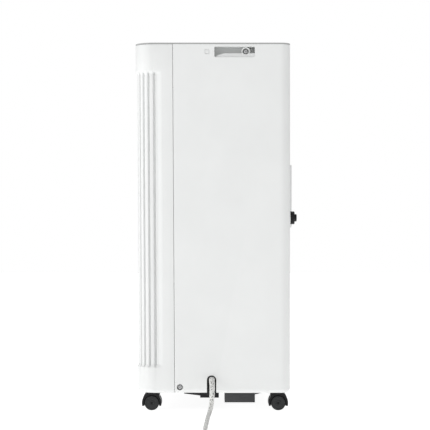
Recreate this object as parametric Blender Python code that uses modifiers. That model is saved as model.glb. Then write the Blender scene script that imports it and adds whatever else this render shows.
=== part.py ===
"""Castor cabinet dehumidifier as an assembly, in metres with +Z up.

The control side faces -Y and the air outlet plate +Y. The origin is on the floor under the cabinet's middle.
"""

import math

import bmesh
import bpy
from mathutils import Matrix, Vector

# Overall sizes
WIDTH = 0.330
DEPTH = 0.300
HEIGHT = 0.710
WHEEL_RADIUS = 0.0143
BODY_BOTTOM = 2 * WHEEL_RADIUS + 0.0069  # the cabinet's underside above the floor
REAR_PROUD = 0.014  # how far the drain cap stands behind the rear wall

# Casing
GAP = 0.0003  # between pieces that touch
WALL = 0.0024
FRONT_CORNER = 0.035
REAR_CORNER = 0.020
BOTTOM_ROUND = 0.008
LID_EDGE = 0.0025
LEAN = 0.004  # the front plane stands this much further back at the bottom
SEAM_BACK = 0.0728  # from the front plane to the joint of the two shells
SEAM_GAP = 0.0006

# Flutes round the front
FLUTE_LOW = 0.084
FLUTE_TOP_MARGIN = 0.053  # below the cabinet's top
FLUTE_RAMP = 0.0075
FLUTE_RECESS = 0.003  # rib tops below the plain wall
FLUTE_DEPTH = 0.0034
FLUTE_PITCH = 0.012
FLUTE_HALF = 0.0019
FLUTE_FLOOR_HALF = 0.0008
FLUTE_SIDE = 0.0019  # the first groove, back from the corner's start
FLUTE_EDGE = 0.016  # the recess's side edge, back from the corner's start
FLUTE_EDGE_RAMP = 0.0087

# Handle cups and side screws
HANDLE_LENGTH = 0.078
HANDLE_HEIGHT = 0.0205
HANDLE_TOP_MARGIN = 0.0075
HANDLE_REAR_MARGIN = 0.0687
HANDLE_DEPTH = 0.027
HANDLE_WALL = 0.0021
HANDLE_LIP = 0.0083  # height of the sloping lip along the cup's mouth
HANDLE_SCREW_MARGIN = 0.0175  # from the cup's rear end
HANDLE_BOSS = 0.0082
SCREW_POCKET = 0.0060
SCREW_HEAD = 0.0044
SCREW_SHANK = 0.0020
SCREW_HEAD_THICK = 0.0022
SIDE_SCREW_BACK = 0.0103  # behind the seam
SIDE_SCREW_RISE = 0.0116  # above the cabinet's underside

# Lid, outlet and controls
OUTLET_HALF = WIDTH / 2 - 0.051
OUTLET_BACK = 0.044  # from the front plane to the outlet's front edge
OUTLET_RUN = 0.052
OUTLET_DEEP = 0.024
FLAP_BARREL = 0.0054
FLAP_THICK = 0.0028
FLAP_PIN = 0.0016
PIN_CLEAR = 0.0004
MOVE_GAP = 0.0006
PANEL_HALF = WIDTH / 2 - 0.080
PANEL_RUN = 0.056
PANEL_BACK = 0.014  # behind the outlet
PANEL_THICK = 0.0026
BUTTON_RADIUS = 0.0055
BUTTON_PITCH = (WIDTH / 2 - 0.105) / 2
BUTTON_TALL = 0.0052
DISPLAY_HALF = 0.032
DISPLAY_RUN = 0.020

# Rear openings
WINDOW_HALF = WIDTH / 2 - 0.043
LOWER_LOW = 0.072
LOWER_TOP_GAP = 0.025  # under the outlet plate
UPPER_LOW_MARGIN = 0.205  # below the cabinet's top, as all the margins here
UPPER_TOP_MARGIN = 0.030
GRILLE_THICK = 0.0032
GRILLE_FRAME = 0.010
GRILLE_PITCH = 0.013
GRILLE_SLOT = 0.0075
HINGE_RISE = 0.0045
FILTER_THICK = 0.004
FILTER_CELL = 0.045
PLATE_HALF = WIDTH / 2 - 0.080
PLATE_LOW_MARGIN = 0.357
PLATE_TALL = 0.1245
PLATE_PROUD = 0.0066
PLATE_BORDER = 0.014
VANE_PITCH = 0.0137
VANE_SLOT = 0.009
DRAIN_X_MARGIN = 0.043
DRAIN_TOP_MARGIN = 0.337
DRAIN_PIPE = 0.0055
CAP_RADIUS = 0.0127
CAP_THICK = 0.0082
CAP_TIP_RADIUS = 0.0072

# Base
PAN_INSET = 0.0115
PAN_FLOOR = 0.003
PAN_TALL = 0.025
CASTOR_X_MARGIN = 0.035
CASTOR_FRONT_BACK = 0.0382
CASTOR_REAR_IN = 0.0290
CASTOR_TRAIL = 0.0062
WHEEL_THICK = 0.0124
WEB_HALF = 0.0039
HOOD_HALF = 0.0170
HOOD_ARC = WHEEL_RADIUS + 0.0047
POCKET_CLEAR = 0.0010
STEM_RADIUS = 0.0040
STEM_TALL = 0.016
SOCKET_RADIUS = 0.009
AXLE_RADIUS = 0.0020
SUMP_LOW = BODY_BOTTOM - 0.0258
SUMP_X = (0.040, 0.104)
SUMP_FRONT_IN = 0.1265  # both in from the rear wall
SUMP_REAR_IN = 0.0668
SUMP_WALL = 0.002
FLOAT_RADIUS = 0.012
FLOAT_TALL = 0.012
SLOT_IN = 0.1520  # from the rear wall to the middle of the cord slot
SLOT_HALF = 0.009
SLOT_RISE = 0.0346

# Power cord
CORD_RADIUS = 0.0045
CORD_Y = -0.0085
CORD_Z = BODY_BOTTOM + 0.0265
CORD_LIE = 0.0047  # the middle of the cord where it lies on the floor
COIL_CENTRE = (0.590, 0.0333)
COIL_RADIUS = 0.050
COIL_HALF = 0.0100
COIL_TALL = 0.0186
PLUG_RADIUS = 0.0185
PLUG_LENGTH = 0.036
PIN_APART = 0.0095  # from the plug's axis
PIN_LONG = 0.019
PIN_RADIUS = 0.0024

# Inside
COMPRESSOR_RADIUS = 0.052
COMPRESSOR_TALL = 0.190
COIL_PACK = 0.030  # depth of the finned packs
FIN_GROOVE = 0.006
FIN_PITCH = 0.020
BEND_REACH = 0.010
BEND_PITCH = 0.060
BEND_TALL = 0.022
LOWER_FAN = 0.095
UPPER_FAN = 0.074
FAN_THICK = 0.052
FAN_MOTOR = 0.038
FAN_WALL = 0.002
FAN_SHAFT = 0.004
PIPE_RADIUS = 0.004

HALF = WIDTH / 2
FRONT = -(DEPTH + REAR_PROUD) / 2
REAR = FRONT + DEPTH
SHELL_TOP = HEIGHT - LID_EDGE - GAP
PAN_TOP = BODY_BOTTOM + PAN_TALL
ROUND = 24

for existing in list(bpy.data.objects):
    bpy.data.objects.remove(existing, do_unlink=True)
dehumidifier = bpy.data.collections.new("dehumidifier")
cutters = bpy.data.collections.new("cutters")
bpy.context.scene.collection.children.link(dehumidifier)
bpy.context.scene.collection.children.link(cutters)
cutters.hide_render = True


def material(name, colour, roughness, metallic=0.0):
    made = bpy.data.materials.new(name)
    made.use_nodes = True
    shader = made.node_tree.nodes["Principled BSDF"]
    shader.inputs["Base Color"].default_value = (*colour, 1)
    shader.inputs["Roughness"].default_value = roughness
    shader.inputs["Metallic"].default_value = metallic
    return made


WHITE = material("white casing", (0.86, 0.87, 0.86), 0.38)
LID_GREY = material("grey lid", (0.42, 0.43, 0.43), 0.40)
BLACK = material("black plastic", (0.025, 0.025, 0.027), 0.45)
DARK = material("dark grey plastic", (0.08, 0.082, 0.085), 0.50)
STEEL = material("bright steel", (0.60, 0.60, 0.60), 0.28, 1.0)
COPPER = material("copper pipe", (0.78, 0.42, 0.26), 0.30, 1.0)
FINS = material("aluminium fins", (0.72, 0.73, 0.74), 0.40, 1.0)
FOAM = material("white tray", (0.80, 0.80, 0.78), 0.60)
NET = material("filter net", (0.16, 0.17, 0.18), 0.80)
BOARD = material("circuit board", (0.04, 0.20, 0.09), 0.50)
GLASS = material("display window", (0.015, 0.015, 0.018), 0.12)
CORD = material("grey cord", (0.66, 0.66, 0.65), 0.50)


def part(name, bm, surface):
    """A named piece from a bmesh, with smooth faces and sharp edges kept."""
    mesh = bpy.data.meshes.new(name)
    bm.to_mesh(mesh)
    bm.free()
    piece = bpy.data.objects.new(name, mesh)
    mesh.materials.append(surface)
    mesh.shade_smooth()
    mesh.set_sharp_from_angle(angle=math.radians(35))
    dehumidifier.objects.link(piece)
    return piece


def pivot(piece, point):
    """Moves a piece's origin onto its joint's axis and leaves its shape in place."""
    piece.data.transform(Matrix.Translation(-Vector(point)))
    piece.location = point


def combine(piece, operation, shapes):
    for shape in shapes:
        bmesh.ops.recalc_face_normals(shape, faces=shape.faces[:])
        mesh = bpy.data.meshes.new(piece.name + "_tool")
        shape.to_mesh(mesh)
        shape.free()
        tool = bpy.data.objects.new(piece.name + "_tool", mesh)
        tool.hide_render = True
        tool.display_type = "WIRE"
        cutters.objects.link(tool)
        modifier = piece.modifiers.new(operation.lower(), "BOOLEAN")
        modifier.operation = operation
        modifier.object = tool


def cut(piece, *shapes):
    combine(piece, "DIFFERENCE", shapes)


def join(piece, *shapes):
    combine(piece, "UNION", shapes)


def box(low, high):
    bm = bmesh.new()
    low, high = Vector(low), Vector(high)
    place = Matrix.LocRotScale((low + high) / 2, None, high - low)
    bmesh.ops.create_cube(bm, size=1, matrix=place)
    return bm


def rod(start, end, radius, segments=ROUND):
    bm = bmesh.new()
    start, end = Vector(start), Vector(end)
    turn = (end - start).to_track_quat("Z", "Y")
    place = Matrix.LocRotScale((start + end) / 2, turn, None)
    bmesh.ops.create_cone(
        bm,
        cap_ends=True,
        segments=segments,
        radius1=radius,
        radius2=radius,
        depth=(end - start).length,
        matrix=place,
    )
    return bm


def meshed(curve):
    """The welded bmesh of a curve datablock, which it removes."""
    holder = bpy.data.objects.new("curve", curve)
    bpy.context.scene.collection.objects.link(holder)
    bpy.context.view_layer.update()
    graph = bpy.context.evaluated_depsgraph_get()
    mesh = bpy.data.meshes.new_from_object(holder.evaluated_get(graph))
    bm = bmesh.new()
    bm.from_mesh(mesh)
    bmesh.ops.remove_doubles(bm, verts=bm.verts[:], dist=1e-6)
    bmesh.ops.recalc_face_normals(bm, faces=bm.faces[:])
    bpy.data.objects.remove(holder)
    bpy.data.curves.remove(curve)
    bpy.data.meshes.remove(mesh)
    return bm


PLANES = {
    "XY": Matrix(((1, 0, 0), (0, 1, 0), (0, 0, 1))),
    "XZ": Matrix(((1, 0, 0), (0, 0, -1), (0, 1, 0))),
    "YZ": Matrix(((0, 0, 1), (1, 0, 0), (0, 1, 0))),
}
ACROSS = {"XY": 2, "XZ": 1, "YZ": 0}


def extruded(outlines, plane, low, high):
    """A flat outline, with any holes after it, extruded across its plane from low to high."""
    curve = bpy.data.curves.new("outline", "CURVE")
    curve.dimensions = "2D"
    curve.fill_mode = "BOTH"
    curve.extrude = (high - low) / 2
    for points in outlines:
        spline = curve.splines.new("POLY")
        spline.points.add(len(points) - 1)
        for point, (u, v) in zip(spline.points, points):
            point.co = (u, v, 0, 1)
        spline.use_cyclic_u = True
    bm = meshed(curve)
    place = PLANES[plane].to_4x4()
    place[ACROSS[plane]][3] = (low + high) / 2
    bmesh.ops.transform(bm, matrix=place, verts=bm.verts[:])
    return bm


def tube(points, radius, resolution=2):
    curve = bpy.data.curves.new("tube", "CURVE")
    curve.dimensions = "3D"
    curve.bevel_depth = radius
    curve.bevel_resolution = resolution
    curve.use_fill_caps = True
    spline = curve.splines.new("POLY")
    spline.points.add(len(points) - 1)
    for point, place in zip(spline.points, points):
        point.co = (*place, 1)
    return meshed(curve)


def turned(name, profile, surface, at, turn=(0, 0, 0), steps=ROUND, ring=False):
    """A piece turned from (radius, height) points, which run down its outer side."""
    mesh = bpy.data.meshes.new(name)
    edges = [(i, i + 1) for i in range(len(profile) - 1)]
    if ring:
        edges.append((len(profile) - 1, 0))
    mesh.from_pydata([(radius, 0, height) for radius, height in profile], edges, [])
    mesh.materials.append(surface)
    piece = bpy.data.objects.new(name, mesh)
    piece.location = at
    piece.rotation_euler = [math.radians(angle) for angle in turn]
    screw = piece.modifiers.new("turn", "SCREW")
    screw.steps = screw.render_steps = steps
    screw.use_merge_vertices = True
    screw.merge_threshold = 1e-5
    dehumidifier.objects.link(piece)
    return piece


def arc(centre, radius, start, end, steps):
    angles = [math.radians(start + (end - start) * i / steps) for i in range(steps + 1)]
    return [(centre[0] + radius * math.cos(a), centre[1] + radius * math.sin(a)) for a in angles]


def rectangle(low, high):
    return [low, (high[0], low[1]), high, (low[0], high[1])]


def rounded(low, high, radius, steps=3):
    left, right = low[0] + radius, high[0] - radius
    bottom, top = low[1] + radius, high[1] - radius
    return (
        arc((right, bottom), radius, -90, 0, steps)
        + arc((right, top), radius, 0, 90, steps)
        + arc((left, top), radius, 90, 180, steps)
        + arc((left, bottom), radius, 180, 270, steps)
    )


def smooth(points, spacing):
    """Points along a centripetal curve through the given ones, about spacing apart."""
    ends = [2 * Vector(points[0]) - Vector(points[1])]
    ends += [Vector(p) for p in points]
    ends.append(2 * Vector(points[-1]) - Vector(points[-2]))
    path = [ends[1]]
    for a, b, c, d in zip(ends, ends[1:], ends[2:], ends[3:]):
        t1 = (b - a).length ** 0.5
        t2 = t1 + (c - b).length ** 0.5
        t3 = t2 + (d - c).length ** 0.5
        steps = max(1, round((c - b).length / spacing))
        for i in range(1, steps + 1):
            t = t1 + (t2 - t1) * i / steps
            ab = a.lerp(b, t / t1)
            bc = b.lerp(c, (t - t1) / (t2 - t1))
            cd = c.lerp(d, (t - t2) / (t3 - t2))
            low = ab.lerp(bc, t / t2)
            high = bc.lerp(cd, (t - t1) / (t3 - t1))
            path.append(low.lerp(high, (t - t1) / (t2 - t1)))
    return path


def lean(z):
    """How far the front has moved back at this height."""
    return LEAN * (HEIGHT - z) / (HEIGHT - BODY_BOTTOM)


def plan(inset, z):
    """The cabinet's outline at a height, drawn in by inset."""
    half, front, rear = HALF - inset, FRONT + lean(z) + inset, REAR - inset
    near, far = FRONT_CORNER - inset, REAR_CORNER - inset
    return (
        arc((half - near, front + near), near, -90, 0, 6)
        + arc((half - far, rear - far), far, 0, 90, 5)
        + arc((far - half, rear - far), far, 90, 180, 5)
        + arc((near - half, front + near), near, 180, 270, 6)
    )


def loft(rings, flip):
    """An open wall through rings of equal length."""
    bm = bmesh.new()
    rows = [[bm.verts.new(point) for point in ring] for ring in rings]
    for low, high in zip(rows, rows[1:]):
        for a, b, c, d in zip(low, low[1:], high[1:], high):
            bm.faces.new((b, a, d, c) if flip else (a, b, c, d))
    return bm


def bottom_round():
    """(height, inset) of the rings that round the lower edge."""
    angles = [math.radians(a) for a in (0, 45, 90)]
    return [
        (BODY_BOTTOM + BOTTOM_ROUND * (1 - math.cos(a)), BOTTOM_ROUND * (1 - math.sin(a)))
        for a in angles
    ]


def thicken(piece):
    wall = piece.modifiers.new("wall", "SOLIDIFY")
    wall.thickness = WALL
    wall.offset = -1
    wall.use_even_offset = True


# Front shell: one fluted moulding from seam to seam
def front_station(s):
    """(x, y behind the front plane, normal x, normal y) at s along the front from the right corner."""
    quarter = FRONT_CORNER * math.pi / 2
    whole = 2 * quarter + WIDTH - 2 * FRONT_CORNER
    if s > whole / 2:
        x, y, nx, ny = front_station(whole - s)
        return -x, y, -nx, ny
    if s < 0:
        return HALF, FRONT_CORNER - s, 1, 0
    if s < quarter:
        a = s / FRONT_CORNER
        reach = FRONT_CORNER * math.cos(a)
        return HALF - FRONT_CORNER + reach, FRONT_CORNER * (1 - math.sin(a)), math.cos(a), -math.sin(a)
    return HALF - FRONT_CORNER - (s - quarter), 0, 0, -1


def flute_stations():
    """(s, depth) from the right seam to the left one."""
    whole = FRONT_CORNER * math.pi + WIDTH - 2 * FRONT_CORNER
    count = round((whole + 2 * FLUTE_SIDE) / FLUTE_PITCH)
    pitch = (whole + 2 * FLUTE_SIDE) / count
    side = [
        (FRONT_CORNER - SEAM_BACK, 0),
        (-FLUTE_EDGE, 0),
        (FLUTE_EDGE_RAMP - FLUTE_EDGE, FLUTE_RECESS),
    ]
    groove = [
        (-FLUTE_HALF, FLUTE_RECESS),
        (-FLUTE_FLOOR_HALF, FLUTE_RECESS + FLUTE_DEPTH),
        (FLUTE_FLOOR_HALF, FLUTE_RECESS + FLUTE_DEPTH),
        (FLUTE_HALF, FLUTE_RECESS),
    ]
    starts = [k * pitch - FLUTE_SIDE for k in range(count + 1)]
    grooves = [(start + along, depth) for start in starts for along, depth in groove]
    return side + grooves + [(whole - s, depth) for s, depth in reversed(side)]


def front_ring(z, inset, fluted):
    ring = []
    for s, depth in flute_stations():
        x, back, nx, ny = front_station(s)
        into = inset + depth * fluted
        ring.append((x - nx * into, FRONT + lean(z) + back - ny * into, z))
    return ring


flute_high = HEIGHT - FLUTE_TOP_MARGIN
front_rings = [front_ring(z, inset, 0) for z, inset in bottom_round()]
for z, fluted in (
    (FLUTE_LOW, 0),
    (FLUTE_LOW + FLUTE_RAMP, 1),
    (flute_high - FLUTE_RAMP, 1),
    (flute_high, 0),
    (SHELL_TOP, 0),
):
    front_rings.append(front_ring(z, 0, fluted))
front_shell = part("front_shell", loft(front_rings, True), WHITE)
thicken(front_shell)


# Rear shell: the back and most of both sides
def rear_ring(z, inset):
    half, rear = HALF - inset, REAR - inset
    seam = FRONT + SEAM_BACK + SEAM_GAP + lean(z)
    corner = REAR_CORNER - inset
    right = [(half, seam)] + arc((half - corner, rear - corner), corner, 0, 90, 6)
    left = [(-x, y) for x, y in reversed(right)]
    return [(x, y, z) for x, y in right + left]


rear_rings = [rear_ring(z, inset) for z, inset in bottom_round()] + [rear_ring(SHELL_TOP, 0)]
rear_shell = part("rear_shell", loft(rear_rings, False), WHITE)
thicken(rear_shell)

handle_z = (HEIGHT - HANDLE_TOP_MARGIN - HANDLE_HEIGHT, HEIGHT - HANDLE_TOP_MARGIN)
handle_y = (REAR - HANDLE_REAR_MARGIN - HANDLE_LENGTH, REAR - HANDLE_REAR_MARGIN)
screw_z = BODY_BOTTOM + SIDE_SCREW_RISE
screw_y = FRONT + SEAM_BACK + lean(screw_z) + SIDE_SCREW_BACK
upper_z = (HEIGHT - UPPER_LOW_MARGIN, HEIGHT - UPPER_TOP_MARGIN)
plate_z = (HEIGHT - PLATE_LOW_MARGIN, HEIGHT - PLATE_LOW_MARGIN + PLATE_TALL)
lower_z = (LOWER_LOW, plate_z[0] - LOWER_TOP_GAP)
drain_x = HALF - DRAIN_X_MARGIN
drain_z = HEIGHT - DRAIN_TOP_MARGIN
slot_y = REAR - SLOT_IN
through = 0.02  # how far a cutter passes a wall
boss_end = HALF - PAN_INSET + 0.0006
side_pocket = HALF - 0.0055  # the floor of the side screw's pocket

for side in (-1, 1):
    face = side * HALF
    boss = (side * boss_end, screw_y, screw_z)
    join(rear_shell, rod(boss, (side * (HALF - WALL / 2), screw_y, screw_z), SCREW_POCKET + 0.0015))
    cut(
        rear_shell,
        rod(
            (side * side_pocket, screw_y, screw_z),
            (face + side * through, screw_y, screw_z),
            SCREW_POCKET,
        ),
        rod((side * (HALF - through), screw_y, screw_z), (face, screw_y, screw_z), SCREW_SHANK + GAP),
        extruded(
            [rounded((handle_y[0], handle_z[0]), (handle_y[1], handle_z[1]), 0.003)],
            "YZ",
            min(face - side * through, face + side * through),
            max(face - side * through, face + side * through),
        ),
    )
join(
    rear_shell,
    rod((drain_x, REAR - WALL / 2, drain_z), (drain_x, REAR + 0.0014, drain_z), CAP_RADIUS + 0.002),
)
cut(
    rear_shell,
    box((-WINDOW_HALF, REAR - through, upper_z[0]), (WINDOW_HALF, REAR + through, upper_z[1])),
    box((-WINDOW_HALF, REAR - through, lower_z[0]), (WINDOW_HALF, REAR + through, lower_z[1])),
    box(
        (PLATE_BORDER - PLATE_HALF, REAR - through, plate_z[0] + PLATE_BORDER),
        (PLATE_HALF - PLATE_BORDER, REAR + through, plate_z[1] - PLATE_BORDER),
    ),
    rod((drain_x, REAR - through, drain_z), (drain_x, REAR + through, drain_z), DRAIN_PIPE + 0.001),
    extruded(
        [
            [(slot_y + SLOT_HALF, BODY_BOTTOM - through)]
            + arc((slot_y, BODY_BOTTOM + SLOT_RISE - SLOT_HALF), SLOT_HALF, 0, 180, 8)
            + [(slot_y - SLOT_HALF, BODY_BOTTOM - through)]
        ],
        "YZ",
        HALF - through,
        HALF + through,
    ),
)


# Screws, each with a cross recess
def screw(name, head_face, side, y, z, length):
    """A panel screw whose head's outer face is at head_face and whose shank runs inwards."""
    head_back = head_face - side * SCREW_HEAD_THICK
    piece = part(name, rod((head_face, y, z), (head_back, y, z), SCREW_HEAD, 16), STEEL)
    join(
        piece,
        rod((head_back + side * 0.0005, y, z), (head_back - side * length, y, z), SCREW_SHANK, 12),
    )
    deep = sorted((head_face - side * 0.0012, head_face + side * 0.001))
    arm, blade = 0.0026, 0.0005
    for wide, tall in ((arm, blade), (blade, arm)):
        cut(piece, box((deep[0], y - wide, z - tall), (deep[1], y + wide, z + tall)))


# Handle cups behind the casing's side openings
for side, name in ((1, "right"), (-1, "left")):
    mouth = HALF - WALL - GAP
    back = mouth - HANDLE_DEPTH
    x_range = sorted((side * back, side * mouth))
    cup = part(
        "handle_cup_" + name,
        box(
            (x_range[0], handle_y[0] - HANDLE_WALL, handle_z[0] - HANDLE_WALL),
            (x_range[1], handle_y[1] + HANDLE_WALL, handle_z[1] + HANDLE_WALL),
        ),
        WHITE,
    )
    inner = [
        (mouth + through, handle_z[0]),
        (mouth + through, handle_z[1]),
        (back + HANDLE_WALL, handle_z[1]),
        (back + HANDLE_WALL, handle_z[0] + HANDLE_LIP),
        (mouth - 0.0035, handle_z[0] + HANDLE_LIP),
        (mouth, handle_z[0]),
    ]
    lip_end = [
        (handle_y[0], handle_z[0]),
        (handle_y[0] + 0.008, handle_z[0] + HANDLE_LIP * 0.62),
        (handle_y[0] + 0.019, handle_z[0] + HANDLE_LIP),
        (handle_y[0], handle_z[0] + HANDLE_LIP),
    ]
    cut(
        cup,
        extruded([[(side * x, z) for x, z in inner]], "XZ", *handle_y),
        extruded([lip_end], "YZ", *sorted((side * (back + HANDLE_WALL), side * (mouth + through)))),
    )
    boss_y = handle_y[1] - HANDLE_SCREW_MARGIN
    boss_z = sum(handle_z) / 2 + 0.0018
    boss_face = mouth - 0.006
    join(
        cup,
        rod((side * (back + 0.001), boss_y, boss_z), (side * boss_face, boss_y, boss_z), HANDLE_BOSS),
    )
    cut(
        cup,
        rod(
            (side * (boss_face - 0.004), boss_y, boss_z),
            (side * (boss_face + 0.01), boss_y, boss_z),
            SCREW_POCKET,
        ),
        rod(
            (side * (back - 0.01), boss_y, boss_z),
            (side * boss_face, boss_y, boss_z),
            SCREW_SHANK + GAP,
        ),
    )
    head = boss_face - 0.004 + GAP + SCREW_HEAD_THICK
    screw("handle_screw_" + name, side * head, side, boss_y, boss_z, HANDLE_DEPTH - 0.004)
    side_head = side_pocket + GAP + SCREW_HEAD_THICK
    screw("side_screw_" + name, side * side_head, side, screw_y, screw_z, side_pocket - boss_end)

# Lid with the outlet and the control window
outlet_y = (FRONT + OUTLET_BACK, FRONT + OUTLET_BACK + OUTLET_RUN)
panel_y = (outlet_y[1] + PANEL_BACK, outlet_y[1] + PANEL_BACK + PANEL_RUN)
lid_low = HEIGHT - LID_EDGE
top_lid = part("top_lid", extruded([plan(0, HEIGHT)], "XY", lid_low, HEIGHT), LID_GREY)
rim = WALL + 0.0006
join(
    top_lid,
    extruded([plan(rim, HEIGHT), plan(rim + 0.002, HEIGHT)], "XY", lid_low - 0.0018, lid_low + 0.001),
)
cut(
    top_lid,
    box(
        (-OUTLET_HALF - MOVE_GAP, outlet_y[0] - MOVE_GAP, lid_low - through),
        (OUTLET_HALF + MOVE_GAP, outlet_y[1] + MOVE_GAP, HEIGHT + through),
    ),
    extruded(
        [rounded((-PANEL_HALF - GAP, panel_y[0] - GAP), (PANEL_HALF + GAP, panel_y[1] + GAP), 0.006)],
        "XY",
        lid_low - through,
        HEIGHT + through,
    ),
)

# Outlet duct collar with fixed vanes, which also carries the flap's pins
axis_y = outlet_y[1] - FLAP_BARREL
axis_z = HEIGHT - 0.0004 - FLAP_BARREL
collar_top = lid_low - GAP
collar_low = collar_top - OUTLET_DEEP
collar_wall = 0.0022
outer = OUTLET_HALF + MOVE_GAP + collar_wall
outlet_grille = part(
    "outlet_grille",
    box(
        (-outer, outlet_y[0] - collar_wall - MOVE_GAP, collar_low),
        (outer, outlet_y[1] + collar_wall + MOVE_GAP, collar_top),
    ),
    DARK,
)
cut(
    outlet_grille,
    box(
        (-OUTLET_HALF - MOVE_GAP, outlet_y[0] - MOVE_GAP, collar_low - through),
        (OUTLET_HALF + MOVE_GAP, outlet_y[1] + MOVE_GAP, collar_top + through),
    ),
)
vane_count = 11
for i in range(vane_count):
    x = OUTLET_HALF * (2 * (i + 1) / (vane_count + 1) - 1)
    join(
        outlet_grille,
        box(
            (x - 0.0008, outlet_y[0] - 0.001, collar_low + 0.001),
            (x + 0.0008, outlet_y[1] + 0.001, collar_low + 0.010),
        ),
    )
cut(
    outlet_grille,
    rod((-outer - through, axis_y, axis_z), (outer + through, axis_y, axis_z), FLAP_PIN + PIN_CLEAR, 16),
)

flap_edge = outlet_y[0]
flap_top = axis_z + FLAP_BARREL
flap_outline = arc((axis_y, axis_z), FLAP_BARREL, 90, -150, 12) + [
    (axis_y - FLAP_BARREL + 0.0005, flap_top - FLAP_THICK),
    (flap_edge, flap_top - FLAP_THICK),
    (flap_edge, flap_top - 0.0008),
    (flap_edge + 0.0008, flap_top),
]
outlet_flap = part("outlet_flap", extruded([flap_outline], "YZ", -OUTLET_HALF, OUTLET_HALF), WHITE)
join(outlet_flap, rod((-outer, axis_y, axis_z), (outer + 0.003, axis_y, axis_z), FLAP_PIN, 16))
pivot(outlet_flap, (0, axis_y, axis_z))
motor_x = outer + 0.0034
flap_motor = part(
    "flap_motor",
    rod((motor_x, axis_y, axis_z - 0.012), (motor_x + 0.016, axis_y, axis_z - 0.012), 0.012),
    DARK,
)
join(
    flap_motor,
    box((motor_x, axis_y - 0.017, axis_z - 0.015), (motor_x + 0.0015, axis_y + 0.017, axis_z - 0.009)),
)

# Control panel, display and buttons
panel_top = HEIGHT - 0.0005
button_y = panel_y[1] - 0.014
display_y = (panel_y[0] + 0.008, panel_y[0] + 0.008 + DISPLAY_RUN)
BUTTONS = ("power_button", "mode_button", "fan_speed_button", "timer_button", "humidity_button")
button_xs = [BUTTON_PITCH * (i - (len(BUTTONS) - 1) / 2) for i in range(len(BUTTONS))]
holes = [arc((x, button_y), BUTTON_RADIUS + MOVE_GAP, 0, 337.5, 15) for x in button_xs]
holes.append(rectangle((-DISPLAY_HALF, display_y[0]), (DISPLAY_HALF, display_y[1])))
part(
    "control_panel",
    extruded(
        [rounded((-PANEL_HALF, panel_y[0]), (PANEL_HALF, panel_y[1]), 0.006 - GAP)] + holes,
        "XY",
        panel_top - PANEL_THICK,
        panel_top,
    ),
    BLACK,
)
part(
    "display_window",
    box(
        (GAP - DISPLAY_HALF, display_y[0] + GAP, panel_top - PANEL_THICK),
        (DISPLAY_HALF - GAP, display_y[1] - GAP, panel_top - 0.0002),
    ),
    GLASS,
)
button_top = HEIGHT - 0.0001
for name, x in zip(BUTTONS, button_xs):
    profile = [
        (0, button_top),
        (BUTTON_RADIUS, button_top),
        (BUTTON_RADIUS, button_top - BUTTON_TALL),
        (0, button_top - BUTTON_TALL),
    ]
    turned(name, profile, DARK, (x, button_y, 0), steps=16)
board_top = button_top - BUTTON_TALL - 0.0030
control_board = part(
    "control_board",
    box(
        (-PANEL_HALF + 0.006, panel_y[0] + 0.003, board_top - 0.0016),
        (PANEL_HALF - 0.006, panel_y[1] - 0.003, board_top),
    ),
    BOARD,
)
for x in button_xs:
    join(
        control_board,
        box(
            (x - 0.003, button_y - 0.003, board_top - 0.0005),
            (x + 0.003, button_y + 0.003, board_top + 0.0012),
        ),
    )
join(
    control_board,
    box((-0.020, display_y[0], board_top - 0.0005), (0.020, display_y[1], board_top + 0.003)),
)


# Rear intake grilles that swing down with their filters, and the outlet plate
def slots(low, high, rows_pitch, slot, columns, bar):
    """Slot outlines in an area, in rows and columns."""
    rows = int((high[1] - low[1] + rows_pitch - slot) / rows_pitch)
    start = (low[1] + high[1]) / 2 - rows_pitch * (rows - 1) / 2
    wide = (high[0] - low[0] - bar * (columns - 1)) / columns
    found = []
    for row in range(rows):
        middle = start + row * rows_pitch
        for column in range(columns):
            left = low[0] + column * (wide + bar)
            found.append(rectangle((left, middle - slot / 2), (left + wide, middle + slot / 2)))
    return found


def intake(name, filter_name, z_range):
    edge = 0.0010
    low = (edge - WINDOW_HALF, z_range[0] + edge)
    high = (WINDOW_HALF - edge, z_range[1] - edge)
    inner_low = (low[0] + GRILLE_FRAME, low[1] + GRILLE_FRAME)
    inner_high = (high[0] - GRILLE_FRAME, high[1] - GRILLE_FRAME)
    openings = slots(inner_low, inner_high, GRILLE_PITCH, GRILLE_SLOT, 2, 0.006)
    hinge = (0, REAR - GRILLE_THICK / 2, z_range[0] + HINGE_RISE)
    pivot(
        part(name, extruded([rectangle(low, high)] + openings, "XZ", REAR - GRILLE_THICK, REAR), WHITE),
        hinge,
    )
    filter_y = REAR - GRILLE_THICK - GAP
    cell_low = (low[0] + 0.010, low[1] + 0.014)
    cell_high = (high[0] - 0.010, high[1] - 0.012)
    cells = slots(cell_low, cell_high, (high[1] - low[1] - 0.022) / 3, FILTER_CELL, 3, 0.005)
    frame = rectangle((low[0] + 0.005, low[1] + 0.009), (high[0] - 0.005, high[1] - 0.005))
    net = part(filter_name, extruded([frame], "XZ", filter_y - 0.0015, filter_y), NET)
    join(net, extruded([frame] + cells, "XZ", filter_y - FILTER_THICK, filter_y - 0.0005))
    pivot(net, hinge)


intake("upper_grille", "upper_filter", upper_z)
intake("lower_grille", "lower_filter", lower_z)

plate_low, plate_high = (-PLATE_HALF, plate_z[0]), (PLATE_HALF, plate_z[1])
vanes = slots(
    (plate_low[0] + PLATE_BORDER, plate_low[1] + PLATE_BORDER),
    (plate_high[0] - PLATE_BORDER, plate_high[1] - PLATE_BORDER),
    VANE_PITCH,
    VANE_SLOT,
    1,
    0,
)
part(
    "exhaust_plate",
    extruded([rounded(plate_low, plate_high, 0.006)] + vanes, "XZ", REAR + GAP, REAR + PLATE_PROUD),
    WHITE,
)

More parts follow.
